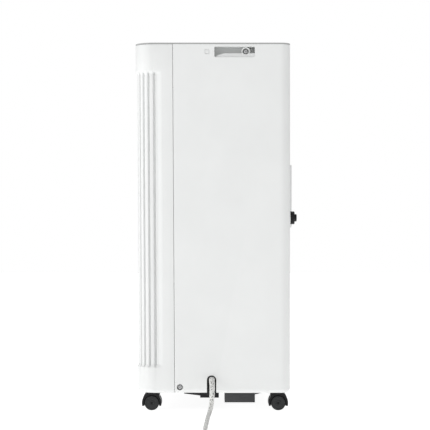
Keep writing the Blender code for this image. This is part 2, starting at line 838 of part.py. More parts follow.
# Mid drain: pipe from the tray through the rear wall, closed by a cap
deck_low = upper_z[0] - 0.022
pack_y = (REAR - 0.012 - COIL_PACK, REAR - 0.012)
tray_y = (pack_y[0] - 0.008, REAR - WALL - 0.003)
pipe_y = pack_y[0] + 0.012
bend = 0.014
drain_path = (
    [(drain_x, pipe_y, deck_low - GAP), (drain_x, pipe_y, drain_z + bend)]
    + [(drain_x, y, z) for y, z in arc((pipe_y + bend, drain_z + bend), bend, 180, 270, 5)][1:]
    + [(drain_x, REAR + REAR_PROUD - CAP_THICK - 0.003, drain_z)]
)
part("drain_pipe", tube(drain_path, DRAIN_PIPE, 3), FOAM)
cap_face = REAR + REAR_PROUD
cap_back = REAR + 0.0014 + GAP
skirt = cap_face - 0.0042
bore = DRAIN_PIPE + 0.0006
cap_profile = [
    (0, cap_face - REAR),
    (CAP_TIP_RADIUS, cap_face - REAR),
    (CAP_TIP_RADIUS, skirt - REAR),
    (CAP_RADIUS, skirt - REAR),
    (CAP_RADIUS, cap_back - REAR),
    (bore, cap_back - REAR),
    (bore, skirt - REAR - 0.0012),
    (0, skirt - REAR - 0.0012),
]
turned("mid_drain_cap", cap_profile, BLACK, (drain_x, REAR, drain_z), (-90, 0, 0))

# Base pan with four castor sockets
base_pan = part("base_pan", extruded([plan(PAN_INSET, BODY_BOTTOM)], "XY", BODY_BOTTOM, PAN_TOP), BLACK)
cut(
    base_pan,
    extruded([plan(PAN_INSET + 0.0025, BODY_BOTTOM)], "XY", BODY_BOTTOM + PAN_FLOOR, PAN_TOP + through),
)
castor_places = [
    (name_y + "_" + name_x, side * (HALF - CASTOR_X_MARGIN), y, outward, side)
    for name_y, y, outward in (
        ("front", FRONT + CASTOR_FRONT_BACK, -1),
        ("rear", REAR - CASTOR_REAR_IN, 1),
    )
    for name_x, side in (("right", 1), ("left", -1))
]
for _, x, y, _, _ in castor_places:
    join(
        base_pan,
        rod((x, y, BODY_BOTTOM + 0.001), (x, y, BODY_BOTTOM + STEM_TALL + 0.004), SOCKET_RADIUS, 12),
    )
    cut(
        base_pan,
        rod(
            (x, y, BODY_BOTTOM - through),
            (x, y, BODY_BOTTOM + STEM_TALL + 0.001),
            STEM_RADIUS + GAP,
            12,
        ),
    )
sump_y = (REAR - SUMP_FRONT_IN, REAR - SUMP_REAR_IN)
float_x = sum(SUMP_X) / 2
float_y = sum(sump_y) / 2
cut(
    base_pan,
    rod((float_x, float_y, BODY_BOTTOM - through), (float_x, float_y, PAN_TOP), FLOAT_RADIUS + 0.004),
)

# Twin-wheel castors: swivelling hood with its stem and axle, and two free wheels
hub_z = WHEEL_RADIUS
boss_top = BODY_BOTTOM - GAP


def hood_outline():
    """(away from the stem side, up) round the hood, from the wheel's centre."""
    rise = boss_top - hub_z
    tall = rise * 1.09
    foot = -0.0055
    ends = [math.asin(foot / tall), math.asin(rise / tall)]
    steps = 8
    outer_side = []
    for i in range(steps + 1):
        a = ends[0] + (ends[1] - ends[0]) * i / steps
        outer_side.append((HOOD_ARC * math.cos(a), tall * math.sin(a)))
    boss_edge = -0.0148
    meet = math.degrees(math.acos(boss_edge / HOOD_ARC))
    last = 180 - math.degrees(math.asin(foot / HOOD_ARC))
    inner_side = arc((0, 0), HOOD_ARC, meet, last, 4)
    return outer_side + [(boss_edge, rise)] + inner_side


for place, x, y, outward, side in castor_places:
    hub_y = y + outward * CASTOR_TRAIL
    outline = [(hub_y + outward * u, hub_z + v) for u, v in hood_outline()]
    hood = part(place + "_castor_hood", extruded([outline], "YZ", x - HOOD_HALF, x + HOOD_HALF), BLACK)
    for way in (-1, 1):
        cut(
            hood,
            rod(
                (x + way * WEB_HALF, hub_y, hub_z),
                (x + way * (HOOD_HALF + through), hub_y, hub_z),
                WHEEL_RADIUS + POCKET_CLEAR,
                22,
            ),
        )
    join(
        hood,
        rod(
            (x - HOOD_HALF + 0.001, hub_y, hub_z),
            (x + HOOD_HALF - 0.001, hub_y, hub_z),
            AXLE_RADIUS,
            8,
        ),
        rod((x, y, boss_top - 0.003), (x, y, BODY_BOTTOM + STEM_TALL), STEM_RADIUS, 12),
    )
    pivot(hood, (x, y, 0))
    for wheel, way in (("outer", side), ("inner", -side)):
        middle = WEB_HALF + GAP + WHEEL_THICK / 2
        profile = [
            (WHEEL_RADIUS, WHEEL_THICK / 2),
            (WHEEL_RADIUS, -WHEEL_THICK / 2),
            (AXLE_RADIUS + GAP, -WHEEL_THICK / 2),
            (AXLE_RADIUS + GAP, WHEEL_THICK / 2),
        ]
        turned(
            f"{place}_wheel_{wheel}",
            profile,
            DARK,
            (x + way * middle, hub_y, hub_z),
            (0, 90, 0),
            22,
            ring=True,
        )

# Sump under the pan, its float and its drain cap
sump_top = BODY_BOTTOM - GAP
sump_box = part(
    "sump_box",
    box((SUMP_X[0], sump_y[0], SUMP_LOW), (SUMP_X[1], sump_y[1], sump_top)),
    DARK,
)
wedge = [
    (sump_y[1] - 0.001, sump_top - 0.0042),
    (sump_y[1] + 0.0125, sump_top - 0.0008),
    (sump_y[1] + 0.0125, sump_top),
    (sump_y[1] - 0.001, sump_top),
]
join(sump_box, extruded([wedge], "YZ", SUMP_X[0], HALF - 0.018))
cut(
    sump_box,
    box(
        (SUMP_X[0] + SUMP_WALL, sump_y[0] + SUMP_WALL, SUMP_LOW + SUMP_WALL),
        (SUMP_X[1] - SUMP_WALL, sump_y[1] - SUMP_WALL, sump_top + through),
    ),
)
spout_z = SUMP_LOW + 0.0095
join(
    sump_box,
    rod((SUMP_X[0] + 0.001, float_y, spout_z), (SUMP_X[0] - 0.007, float_y, spout_z), 0.0045, 20),
)
cut(
    sump_box,
    rod((SUMP_X[0] + 0.006, float_y, spout_z), (SUMP_X[0] - through, float_y, spout_z), 0.0030, 20),
)
plug_profile = [
    (0, 0.0100),
    (0.0070, 0.0100),
    (0.0070, GAP),
    (0.0051, GAP),
    (0.0051, 0.0076),
    (0, 0.0076),
]
turned("bottom_drain_cap", plug_profile, BLACK, (SUMP_X[0], float_y, spout_z), (0, -90, 0))
float_low = SUMP_LOW + SUMP_WALL + GAP
turned(
    "float",
    [
        (0, float_low + FLOAT_TALL),
        (FLOAT_RADIUS, float_low + FLOAT_TALL),
        (FLOAT_RADIUS, float_low),
        (0, float_low),
    ],
    FOAM,
    (float_x, float_y, 0),
    steps=20,
)

# Cord bracket under and behind the cord slot
bracket_x = (HALF - 0.035, HALF - 0.005)
bracket_top = BODY_BOTTOM - GAP
foot_low = bracket_top - 0.0087
foot = [
    (slot_y + 0.014, foot_low),
    (slot_y + 0.014, bracket_top),
    (slot_y - 0.053, bracket_top),
    (slot_y - 0.053, bracket_top - 0.0008),
    (slot_y - 0.022, bracket_top - 0.0046),
    (slot_y - 0.022, foot_low),
]
cord_bracket = part("cord_bracket", extruded([foot], "YZ", *bracket_x), BLACK)
post = SLOT_HALF - 0.0008
join(
    cord_bracket,
    box(
        (HALF - PAN_INSET + 0.0006, slot_y - post, bracket_top - 0.001),
        (HALF - WALL - 0.0010, slot_y + post, CORD_Z + 0.002),
    ),
    rod((HALF - PAN_INSET + 0.0006, CORD_Y, CORD_Z), (HALF - 0.0008, CORD_Y, CORD_Z), 0.0062, 16),
)

# Power cord from the grommet to the floor and away, then its coil and plug
COIL_IN = Vector((COIL_CENTRE[0], COIL_CENTRE[1] - COIL_RADIUS - CORD_RADIUS, CORD_RADIUS))
cord_fall = CORD_Z - CORD_LIE
cord_route = [
    (HALF + out, CORD_Y + along, CORD_LIE + cord_fall * up)
    for out, along, up in (
        (0, 0, 1),
        (0.0101, 0.0001, 0.977),
        (0.0193, 0.0006, 0.911),
        (0.0272, 0.0008, 0.806),
        (0.0332, 0.0007, 0.668),
        (0.0371, 0.0003, 0.500),
        (0.0411, -0.0005, 0.332),
        (0.0471, -0.0017, 0.194),
        (0.0550, -0.0033, 0.089),
        (0.0642, -0.0047, 0.023),
        (0.0740, -0.0057, 0),
        (0.0950, -0.0067, 0),
        (0.1500, -0.0085, 0),
        (0.2200, -0.0106, 0),
        (0.3000, -0.0122, 0),
    )
]
coil_in_x = COIL_IN.x - 0.037
cord_route.append((coil_in_x, COIL_IN.y, CORD_LIE))
cord_points = smooth(cord_route, 0.020)
cord_points[0].x = HALF + GAP
part("power_cord", tube(cord_points, CORD_RADIUS), CORD)

coil_profile = [
    (COIL_RADIUS + COIL_HALF - 0.004, COIL_TALL),
    (COIL_RADIUS + COIL_HALF, COIL_TALL - 0.004),
    (COIL_RADIUS + COIL_HALF, 0.0042),
    (COIL_RADIUS + COIL_HALF - 0.004, 0.0002),
    (COIL_RADIUS - COIL_HALF + 0.004, 0.0002),
    (COIL_RADIUS - COIL_HALF, 0.0042),
    (COIL_RADIUS - COIL_HALF, COIL_TALL - 0.004),
    (COIL_RADIUS - COIL_HALF + 0.004, COIL_TALL),
]
turned("cord_coil", coil_profile, CORD, (*COIL_CENTRE, 0), steps=20, ring=True)

plug_z = PLUG_RADIUS + 0.0004
plug_y = COIL_IN.y
plug_back = COIL_CENTRE[0] + 0.060
plug_profile = [
    (0, PLUG_LENGTH),
    (PLUG_RADIUS - 0.001, PLUG_LENGTH),
    (PLUG_RADIUS, PLUG_LENGTH - 0.001),
    (PLUG_RADIUS, 0.018),
    (0.013, 0.010),
    (0.0065, 0.004),
    (0.0055, 0),
    (0, 0),
]
power_plug = turned("power_plug", plug_profile, CORD, (plug_back, plug_y, plug_z), (0, 90, 0), 18)
for way in (-1, 1):
    join(
        power_plug,
        rod(
            (plug_back + PLUG_LENGTH - 0.002, plug_y + way * PIN_APART, plug_z),
            (plug_back + PLUG_LENGTH + PIN_LONG, plug_y + way * PIN_APART, plug_z),
            PIN_RADIUS,
            12,
        ),
    )

# Refrigerant circuit: compressor, finned packs and pipes
pan_floor = BODY_BOTTOM + PAN_FLOOR
compressor_x = -HALF + 0.085
compressor_y = FRONT + 0.088
foot_z = pan_floor + GAP
shell_low = foot_z + 0.012
dome = 0.024
compressor_profile = (
    [(0, shell_low + COMPRESSOR_TALL)]
    + [
        (
            COMPRESSOR_RADIUS * math.sin(math.radians(a)),
            shell_low + COMPRESSOR_TALL - dome * (1 - math.cos(math.radians(a))),
        )
        for a in (35, 65, 90)
    ]
    + [(COMPRESSOR_RADIUS, shell_low + dome / 2), (COMPRESSOR_RADIUS * 0.8, shell_low), (0, shell_low)]
)
compressor = turned("compressor", compressor_profile, BLACK, (compressor_x, compressor_y, 0), steps=20)
foot_reach = COMPRESSOR_RADIUS + 0.006
for turn_to in (90, 210, 330):
    a = math.radians(turn_to)
    centre = (
        compressor_x + foot_reach * math.cos(a) * 0.82,
        compressor_y + foot_reach * math.sin(a) * 0.82,
    )
    join(compressor, rod((*centre, foot_z), (*centre, shell_low + 0.010), 0.009, 12))

lower_pack_z = (PAN_TOP + 0.003, plate_z[0] - 0.016)
upper_pack_z = (upper_z[0] - 0.002, upper_z[1] + 0.004)
pack_half = HALF - 0.045


def finned_pack(name, z_range):
    """A pack of upright fins, shown by the grooves in its front, with the pipe bends at both ends."""
    piece = part(
        name,
        box((-pack_half, pack_y[0], z_range[0]), (pack_half, pack_y[1], z_range[1])),
        FINS,
    )
    count = int(2 * pack_half / FIN_PITCH)
    grooves = bmesh.new()
    for i in range(count):
        x = FIN_PITCH * (i - (count - 1) / 2)
        tall = z_range[1] - z_range[0] + through
        place = Matrix.LocRotScale(
            (x, pack_y[0], sum(z_range) / 2),
            None,
            (FIN_GROOVE, 2 * FIN_GROOVE, tall),
        )
        bmesh.ops.create_cube(grooves, size=1, matrix=place)
    cut(piece, grooves)
    for side in (-1, 1):
        ends = sorted((side * (pack_half - 0.001), side * (pack_half + BEND_REACH)))
        for row in range(int((z_range[1] - z_range[0]) / BEND_PITCH)):
            z = z_range[0] + 0.025 + row * BEND_PITCH
            join(
                piece,
                box((ends[0], pack_y[0] + 0.010, z), (ends[1], pack_y[0] + 0.018, z + BEND_TALL)),
            )


finned_pack("condenser", lower_pack_z)
finned_pack("evaporator", upper_pack_z)

drip_tray = part(
    "drip_tray",
    box(
        (-pack_half - 0.014, tray_y[0], deck_low),
        (pack_half + 0.014, tray_y[1], upper_pack_z[0] - GAP + 0.006),
    ),
    FOAM,
)
cut(
    drip_tray,
    box(
        (-pack_half - 0.0115, tray_y[0] + 0.0025, deck_low + 0.004),
        (pack_half + 0.0115, tray_y[1] - 0.0025, upper_pack_z[0] + through),
    ),
)

# Fans: a scroll, an impeller on its motor's shaft, and the motor, all on an axis along Y
lower_axis = (0.020, PAN_TOP + LOWER_FAN + 0.055)
lower_fan_y = (pack_y[0] - 0.014 - FAN_THICK, pack_y[0] - 0.014)
upper_axis = (0.0, collar_low - 0.094)
upper_fan_y = (outlet_y[0] - MOVE_GAP, outlet_y[1] + MOVE_GAP)


def scroll_shell(name, outline, inner, y_range, inlet, axis):
    piece = part(name, extruded([outline], "XZ", *y_range), FOAM)
    cut(
        piece,
        extruded([inner], "XZ", y_range[0] + FAN_WALL, y_range[1] - FAN_WALL),
        rod((axis[0], y_range[1] - 0.010, axis[1]), (axis[0], y_range[1] + through, axis[1]), inlet, 28),
        rod((axis[0], y_range[0] - through, axis[1]), (axis[0], y_range[0] + 0.010, axis[1]), 0.009, 16),
    )
    return piece


def impeller(name, axis, y_range, radius):
    """Back plate with a hub and a ring of blades, open towards the inlet."""
    back = y_range[0] + FAN_WALL + 0.004
    front = y_range[1] - FAN_WALL - 0.005
    piece = part(
        name,
        rod((axis[0], back, axis[1]), (axis[0], back + 0.002, axis[1]), radius, 28),
        BLACK,
    )
    join(piece, rod((axis[0], back + 0.001, axis[1]), (axis[0], back + 0.020, axis[1]), 0.012, 16))
    blades = bmesh.new()
    count = 14
    for i in range(count):
        a = 2 * math.pi * i / count
        place = (
            Matrix.Translation((axis[0], 0, axis[1]))
            @ Matrix.Rotation(a, 4, "Y")
            @ Matrix.Translation((radius - 0.009, (back + 0.001 + front) / 2, 0))
            @ Matrix.Rotation(math.radians(35), 4, "Y")
            @ Matrix.Diagonal((0.014, front - back - 0.001, 0.0014, 1))
        )
        bmesh.ops.create_cube(blades, size=1, matrix=place)
    join(piece, blades)
    cut(
        piece,
        rod(
            (axis[0], back - through, axis[1]),
            (axis[0], front + through, axis[1]),
            FAN_SHAFT + GAP,
            16,
        ),
    )
    pivot(piece, (axis[0], back, axis[1]))


def fan_motor(name, axis, y_low, y_range):
    """Round motor in front of the scroll with its shaft through the scroll into the hub."""
    high = y_range[0] - GAP
    piece = part(name, rod((axis[0], y_low, axis[1]), (axis[0], high, axis[1]), FAN_MOTOR, 24), DARK)
    join(
        piece,
        rod(
            (axis[0], high - 0.001, axis[1]),
            (axis[0], y_range[0] + FAN_WALL + 0.022, axis[1]),
            FAN_SHAFT,
            12,
        ),
    )


duct_half = PLATE_HALF - PLATE_BORDER
duct_z = (plate_z[0] + PLATE_BORDER, plate_z[1] - PLATE_BORDER)
duct_top = duct_z[1] + FAN_WALL


def lower_outline(grow):
    """Round scroll with an upright duct above it."""
    radius = LOWER_FAN + grow
    left = math.degrees(math.acos(-(duct_half + grow + lower_axis[0]) / radius))
    right = math.degrees(math.acos((duct_half + grow - lower_axis[0]) / radius))
    return arc(lower_axis, radius, left - 360, right, 22) + [
        (duct_half + grow, duct_top - FAN_WALL + grow),
        (-duct_half - grow, duct_top - FAN_WALL + grow),
    ]


def upper_outline(grow, top):
    """Round scroll under a duct as wide as the outlet."""
    half = OUTLET_HALF + grow
    shoulder = collar_low - 0.030
    round_part = arc(upper_axis, UPPER_FAN + 0.008 + grow, 150 - 360, 30, 20)
    return round_part + [(half, shoulder), (half, top), (-half, top), (-half, shoulder)]


lower_scroll = scroll_shell(
    "lower_scroll", lower_outline(FAN_WALL), lower_outline(0), lower_fan_y, LOWER_FAN - 0.030, lower_axis
)
join(
    lower_scroll,
    box(
        (-duct_half - FAN_WALL, lower_fan_y[1] - 0.001, duct_z[0] - FAN_WALL),
        (duct_half + FAN_WALL, REAR - WALL - 0.0006, duct_z[1] + FAN_WALL),
    ),
)
cut(
    lower_scroll,
    box((-duct_half, lower_fan_y[1] - 0.010, duct_z[0]), (duct_half, REAR + through, duct_z[1])),
)
impeller("lower_impeller", lower_axis, lower_fan_y, LOWER_FAN - 0.012)
fan_motor("lower_fan_motor", lower_axis, lower_fan_y[0] - 0.045, lower_fan_y)

scroll_shell(
    "upper_scroll",
    upper_outline(FAN_WALL, collar_low - GAP),
    upper_outline(0, collar_low + through),
    upper_fan_y,
    UPPER_FAN - 0.022,
    upper_axis,
)
impeller("upper_impeller", upper_axis, upper_fan_y, UPPER_FAN)
fan_motor("upper_fan_motor", upper_axis, FRONT + 0.015, upper_fan_y)

top_z = shell_low + COMPRESSOR_TALL
side_x = -HALF + 0.016
discharge = [
    (compressor_x + 0.018, compressor_y, top_z + GAP),
    (compressor_x + 0.018, compressor_y, top_z + 0.030),
    (compressor_x + 0.010, compressor_y + 0.020, top_z + 0.050),
    (side_x + 0.004, pack_y[0] - 0.060, top_z + 0.056),
    (side_x + 0.002, pack_y[0], top_z + 0.050),
    (side_x + 0.002, pack_y[0] + 0.014, top_z + 0.030),
    (side_x + 0.002, pack_y[0] + 0.014, top_z - 0.010),
    (side_x + 0.016, pack_y[0] + 0.014, top_z - 0.030),
]
part("discharge_pipe", tube(smooth(discharge, 0.025), PIPE_RADIUS, 1), COPPER)
suction = [
    (compressor_x - 0.018, compressor_y - 0.016, top_z + GAP),
    (compressor_x - 0.018, compressor_y - 0.016, top_z + 0.040),
    (side_x, compressor_y - 0.008, top_z + 0.070),
    (side_x, compressor_y - 0.006, top_z + 0.090),
    (side_x, compressor_y, deck_low + 0.020),
    (side_x, compressor_y + 0.040, deck_low + 0.060),
    (side_x, pack_y[0] - 0.020, deck_low + 0.064),
    (side_x + 0.004, pack_y[0] + 0.010, deck_low + 0.064),
    (side_x + 0.016, pack_y[0] + 0.014, deck_low + 0.064),
]
part("suction_pipe", tube(smooth(suction, 0.030), PIPE_RADIUS, 1), COPPER)
cap_x = HALF - 0.016
capillary = [
    (cap_x - 0.016, pack_y[0] + 0.014, lower_pack_z[0] + 0.035),
    (cap_x - 0.004, pack_y[0] + 0.013, lower_pack_z[0] + 0.037),
    (cap_x, pack_y[0] + 0.004, lower_pack_z[0] + 0.050),
    (cap_x, pack_y[0] - 0.010, lower_pack_z[0] + 0.090),
    (cap_x, pack_y[0] - 0.022, deck_low - 0.030),
    (cap_x, pack_y[0] - 0.018, deck_low + 0.035),
    (cap_x - 0.002, pack_y[0] + 0.004, deck_low + 0.056),
    (cap_x - 0.016, pack_y[0] + 0.014, deck_low + 0.060),
]
part("capillary_tube", tube(smooth(capillary, 0.040), 0.0015, 1), COPPER)
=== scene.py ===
import math

import bmesh
import bpy
from mathutils import Matrix, Vector


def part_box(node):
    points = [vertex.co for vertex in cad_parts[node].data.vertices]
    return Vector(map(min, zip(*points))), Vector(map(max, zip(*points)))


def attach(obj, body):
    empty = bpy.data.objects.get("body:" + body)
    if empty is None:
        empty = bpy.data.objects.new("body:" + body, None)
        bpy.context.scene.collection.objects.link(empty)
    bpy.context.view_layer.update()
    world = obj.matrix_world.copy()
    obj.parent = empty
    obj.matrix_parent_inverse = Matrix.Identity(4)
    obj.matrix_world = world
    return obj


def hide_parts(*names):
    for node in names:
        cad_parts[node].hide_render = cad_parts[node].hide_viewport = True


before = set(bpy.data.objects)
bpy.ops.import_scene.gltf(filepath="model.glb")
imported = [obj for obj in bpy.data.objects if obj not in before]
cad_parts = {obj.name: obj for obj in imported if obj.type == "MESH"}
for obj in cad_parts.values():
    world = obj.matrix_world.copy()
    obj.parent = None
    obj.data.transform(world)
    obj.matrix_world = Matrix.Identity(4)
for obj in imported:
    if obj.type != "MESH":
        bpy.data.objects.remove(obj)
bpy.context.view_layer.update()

# Studio: a pale lit sweep, a sky that is brighter towards the front, a soft key before
# the front, a narrow light on the front corner and weaker ones above and behind. The
# camera is level with the middle of the cabinet and square to its right side.
SKY_FRONT = 0.68
SKY_REAR = 0.41
PAPER_GLOW = 0.92
studio = bpy.context.scene
studio.view_settings.view_transform = "Standard"
studio.view_settings.look = "None"

daylight = bpy.data.worlds.new("studio")
daylight.use_nodes = True
day_tree = daylight.node_tree
day_sky = day_tree.nodes["Background"]
day_sky.inputs["Color"].default_value = (1.0, 1.0, 1.0, 1)
heading = day_tree.nodes.new("ShaderNodeTexCoord")
parts = day_tree.nodes.new("ShaderNodeSeparateXYZ")
sky_fall = day_tree.nodes.new("ShaderNodeMapRange")
sky_fall.inputs["From Min"].default_value = -1
sky_fall.inputs["From Max"].default_value = 1
sky_fall.inputs["To Min"].default_value = SKY_FRONT
sky_fall.inputs["To Max"].default_value = SKY_REAR
day_tree.links.new(heading.outputs["Generated"], parts.inputs["Vector"])
day_tree.links.new(parts.outputs["Y"], sky_fall.inputs["Value"])
day_tree.links.new(sky_fall.outputs["Result"], day_sky.inputs["Strength"])
backdrop = day_tree.nodes.new("ShaderNodeBackground")
backdrop.inputs["Color"].default_value = (1.0, 1.0, 1.0, 1)
backdrop.inputs["Strength"].default_value = 1.0
ray = day_tree.nodes.new("ShaderNodeLightPath")
either = day_tree.nodes.new("ShaderNodeMixShader")
day_tree.links.new(ray.outputs["Is Camera Ray"], either.inputs["Fac"])
day_tree.links.new(day_sky.outputs["Background"], either.inputs[1])
day_tree.links.new(backdrop.outputs["Background"], either.inputs[2])
day_tree.links.new(either.outputs["Shader"], day_tree.nodes["World Output"].inputs["Surface"])
studio.world = daylight

sweep_bm = bmesh.new()
bmesh.ops.create_grid(sweep_bm, x_segments=4, y_segments=4, size=6.0)
bmesh.ops.translate(sweep_bm, vec=(0, 0, -0.0005), verts=sweep_bm.verts[:])
sweep_mesh = bpy.data.meshes.new("sweep")
sweep_bm.to_mesh(sweep_mesh)
sweep_bm.free()
sweep = bpy.data.objects.new("sweep", sweep_mesh)
studio.collection.objects.link(sweep)
paper = bpy.data.materials.new("lit paper")
paper.use_nodes = True
paper_shader = paper.node_tree.nodes["Principled BSDF"]
paper_shader.inputs["Base Color"].default_value = (0.55, 0.55, 0.55, 1)
paper_shader.inputs["Roughness"].default_value = 0.9
paper_shader.inputs["Specular IOR Level"].default_value = 0.1
paper_shader.inputs["Emission Color"].default_value = (1.0, 1.0, 1.0, 1)
paper_shader.inputs["Emission Strength"].default_value = PAPER_GLOW
sweep_mesh.materials.append(paper)


def softbox(name, place, target, size, power):
    lamp = bpy.data.lights.new(name, "AREA")
    lamp.shape = "RECTANGLE"
    lamp.size, lamp.size_y = size
    lamp.energy = power
    lit = bpy.data.objects.new(name, lamp)
    lit.location = place
    lit.rotation_euler = (Vector(target) - Vector(place)).to_track_quat("-Z", "Y").to_euler()
    studio.collection.objects.link(lit)


softbox("key", (0.7, -2.8, 1.0), (0, 0, 0.35), (1.6, 2.2), 13)
softbox("corner", (0.75, -0.85, 0.42), (0.15, -0.12, 0.38), (0.4, 1.0), 1.2)
softbox("fill", (2.2, 0.3, 2.0), (0, 0, 0.40), (1.4, 1.8), 6)
softbox("back", (-2.2, 1.8, 1.8), (0, 0, 0.40), (1.6, 1.6), 4)

lens = bpy.data.cameras.new("side view")
lens.sensor_width = 36
lens.lens = 113.2
eye = bpy.data.objects.new("side view", lens)
eye.location = (2.765, -0.0024, 0.3785)
eye.rotation_euler = (math.radians(90), 0, math.radians(90))
studio.collection.objects.link(eye)
studio.camera = eye

# Power cord: a 9 mm round mains lead in pale grey PVC with darker flecks. It leaves the
# slot low on the right side, drops to the floor and runs straight out, and the rest is
# wound into a small coil held by a strap, with the plug on the end.
CORD_RADIUS = 0.0045
CORD_LIE = 0.0047
CORD_TURN_OFFSET = 0.0045
CORD_LAYER_RISE = 0.0092
cord_out = 0.165
cord_y = -0.0085
cord_z = 0.062
coil_centre = (0.590, 0.0333)
coil_radius = 0.050
coil_layers = (CORD_LIE, CORD_LIE + CORD_LAYER_RISE)


def noise(tree, scale, detail=2.0, stretch=(1, 1, 1)):
    """A grey noise fixed to the piece, with its grain about 1 / scale metres."""
    place = tree.nodes.new("ShaderNodeTexCoord")
    turn = tree.nodes.new("ShaderNodeMapping")
    turn.inputs["Scale"].default_value = stretch
    cloud = tree.nodes.new("ShaderNodeTexNoise")
    cloud.inputs["Scale"].default_value = scale
    cloud.inputs["Detail"].default_value = detail
    tree.links.new(place.outputs["Object"], turn.inputs["Vector"])
    tree.links.new(turn.outputs["Vector"], cloud.inputs["Vector"])
    return cloud.outputs["Fac"]


def levels(tree, value, low, high):
    """Spreads the middle of a noise from low to high."""
    spread = tree.nodes.new("ShaderNodeMapRange")
    spread.inputs["From Min"].default_value = 0.3
    spread.inputs["From Max"].default_value = 0.7
    spread.inputs["To Min"].default_value = low
    spread.inputs["To Max"].default_value = high
    tree.links.new(value, spread.inputs["Value"])
    return spread.outputs["Result"]


def blended(tree, value, dark, light):
    ramp = tree.nodes.new("ShaderNodeValToRGB")
    ramp.color_ramp.elements[0].position = 0.32
    ramp.color_ramp.elements[0].color = (*dark, 1)
    ramp.color_ramp.elements[1].position = 0.68
    ramp.color_ramp.elements[1].color = (*light, 1)
    tree.links.new(value, ramp.inputs["Fac"])
    return ramp.outputs["Color"]


def relief(tree, value, depth, under=None):
    bump = tree.nodes.new("ShaderNodeBump")
    bump.inputs["Distance"].default_value = depth
    tree.links.new(value, bump.inputs["Height"])
    if under is not None:
        tree.links.new(under, bump.inputs["Normal"])
    return bump.outputs["Normal"]


def moulded(name, colour, roughness, grain=0.0009, depth=0.00005, mottle=0.03, coat=0.0):
    """Moulded plastic: spark-eroded grain, faint flow marks and uneven gloss."""
    made = bpy.data.materials.new(name)
    made.use_nodes = True
    tree = made.node_tree
    shader = tree.nodes["Principled BSDF"]
    dark = [c * (1 - mottle) for c in colour]
    light = [min(1, c * (1 + mottle)) for c in colour]
    flow = noise(tree, 14, 3)
    tree.links.new(blended(tree, flow, dark, light), shader.inputs["Base Color"])
    sheen = levels(tree, noise(tree, 60, 3), roughness - 0.05, roughness + 0.05)
    tree.links.new(sheen, shader.inputs["Roughness"])
    wavy = relief(tree, noise(tree, 25, 1), depth * 2)
    skin = relief(tree, noise(tree, 1 / grain, 3), depth, wavy)
    tree.links.new(skin, shader.inputs["Normal"])
    shader.inputs["Coat Weight"].default_value = coat
    shader.inputs["Coat Roughness"].default_value = 0.15
    return made


def settled(name, mesh_or_curve, finish, body, slot, *nodes):
    """Puts a finished shape in the scene, riding on its body and standing for its CAD nodes."""
    made = bpy.data.objects.new(name, mesh_or_curve)
    mesh_or_curve.materials.append(finish)
    studio.collection.objects.link(made)
    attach(made, body)
    if nodes:
        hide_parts(*nodes)
    return made


def ease(value, start, end):
    """0 before start, 1 after end, and smooth between."""
    share = min(1, max(0, (value - start) / (end - start)))
    return share * share * (3 - 2 * share)


fall = cord_z - CORD_LIE
cord_line = [
    (cord_out + out, cord_y + along, CORD_LIE + fall * up)
    for out, along, up in (
        (0.0003, 0, 1),
        (0.0101, 0.0001, 0.977),
        (0.0193, 0.0006, 0.911),
        (0.0272, 0.0008, 0.806),
        (0.0332, 0.0007, 0.668),
        (0.0371, 0.0003, 0.500),
        (0.0411, -0.0005, 0.332),
        (0.0471, -0.0017, 0.194),
        (0.0550, -0.0033, 0.089),
        (0.0642, -0.0047, 0.023),
        (0.0740, -0.0057, 0),
        (0.0950, -0.0067, 0),
        (0.1500, -0.0085, 0),
        (0.2200, -0.0106, 0),
        (0.3000, -0.0122, 0),
        (0.3650, -0.0129, 0),
    )
]
TURN_POINTS = 16
WHOLE_TURNS = 3
for step in range(WHOLE_TURNS * TURN_POINTS + 1):
    angle = 360 * step / TURN_POINTS
    inwards = ease(angle, 290, 350) - ease(angle, 720 + 170, 720 + 230)
    reach = coil_radius + CORD_TURN_OFFSET * (1 - 2 * inwards)
    lift = ease(angle, 360 + 230, 360 + 290)
    height = coil_layers[0] + (coil_layers[1] - coil_layers[0]) * lift
    round_to = math.radians(angle - 90)
    cord_line.append(
        (
            coil_centre[0] + reach * math.cos(round_to),
            coil_centre[1] + reach * math.sin(round_to),
            height,
        )
    )
plug_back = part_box("power_plug")[0].x
plug_middle = (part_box("power_plug")[0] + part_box("power_plug")[1]) / 2
cord_line += [
    (coil_centre[0] + 0.022, plug_middle.y, coil_layers[1] + 0.0010),
    (coil_centre[0] + 0.042, plug_middle.y, plug_middle.z - 0.0010),
    (plug_back + 0.004, plug_middle.y, plug_middle.z),
]
lead = bpy.data.curves.new("mains_lead", "CURVE")
lead.dimensions = "3D"
lead.bevel_depth = CORD_RADIUS
lead.bevel_resolution = 6
lead.resolution_u = 8
lead.use_fill_caps = True
lead_run = lead.splines.new("BEZIER")
lead_run.bezier_points.add(len(cord_line) - 1)
for knot, place in zip(lead_run.bezier_points, cord_line):
    knot.co = place
    knot.handle_left_type = knot.handle_right_type = "AUTO"
pvc = moulded("pale grey PVC", (0.66, 0.66, 0.65), 0.42, 0.0006, 0.00004, 0.04)
flecked = moulded("flecked PVC", (0.66, 0.66, 0.65), 0.42, 0.0006, 0.00004, 0.04)
fleck_tree = flecked.node_tree
flecks = blended(fleck_tree, noise(fleck_tree, 420, 1), (0.20, 0.20, 0.19), (0.78, 0.78, 0.76))
flecks.node.color_ramp.elements[0].position = 0.34
flecks.node.color_ramp.elements[1].position = 0.44
fleck_tree.links.new(flecks, fleck_tree.nodes["Principled BSDF"].inputs["Base Color"])
mains_lead = settled("mains_lead", lead, flecked, "cabinet", "cord_grey", "power_cord", "cord_coil")


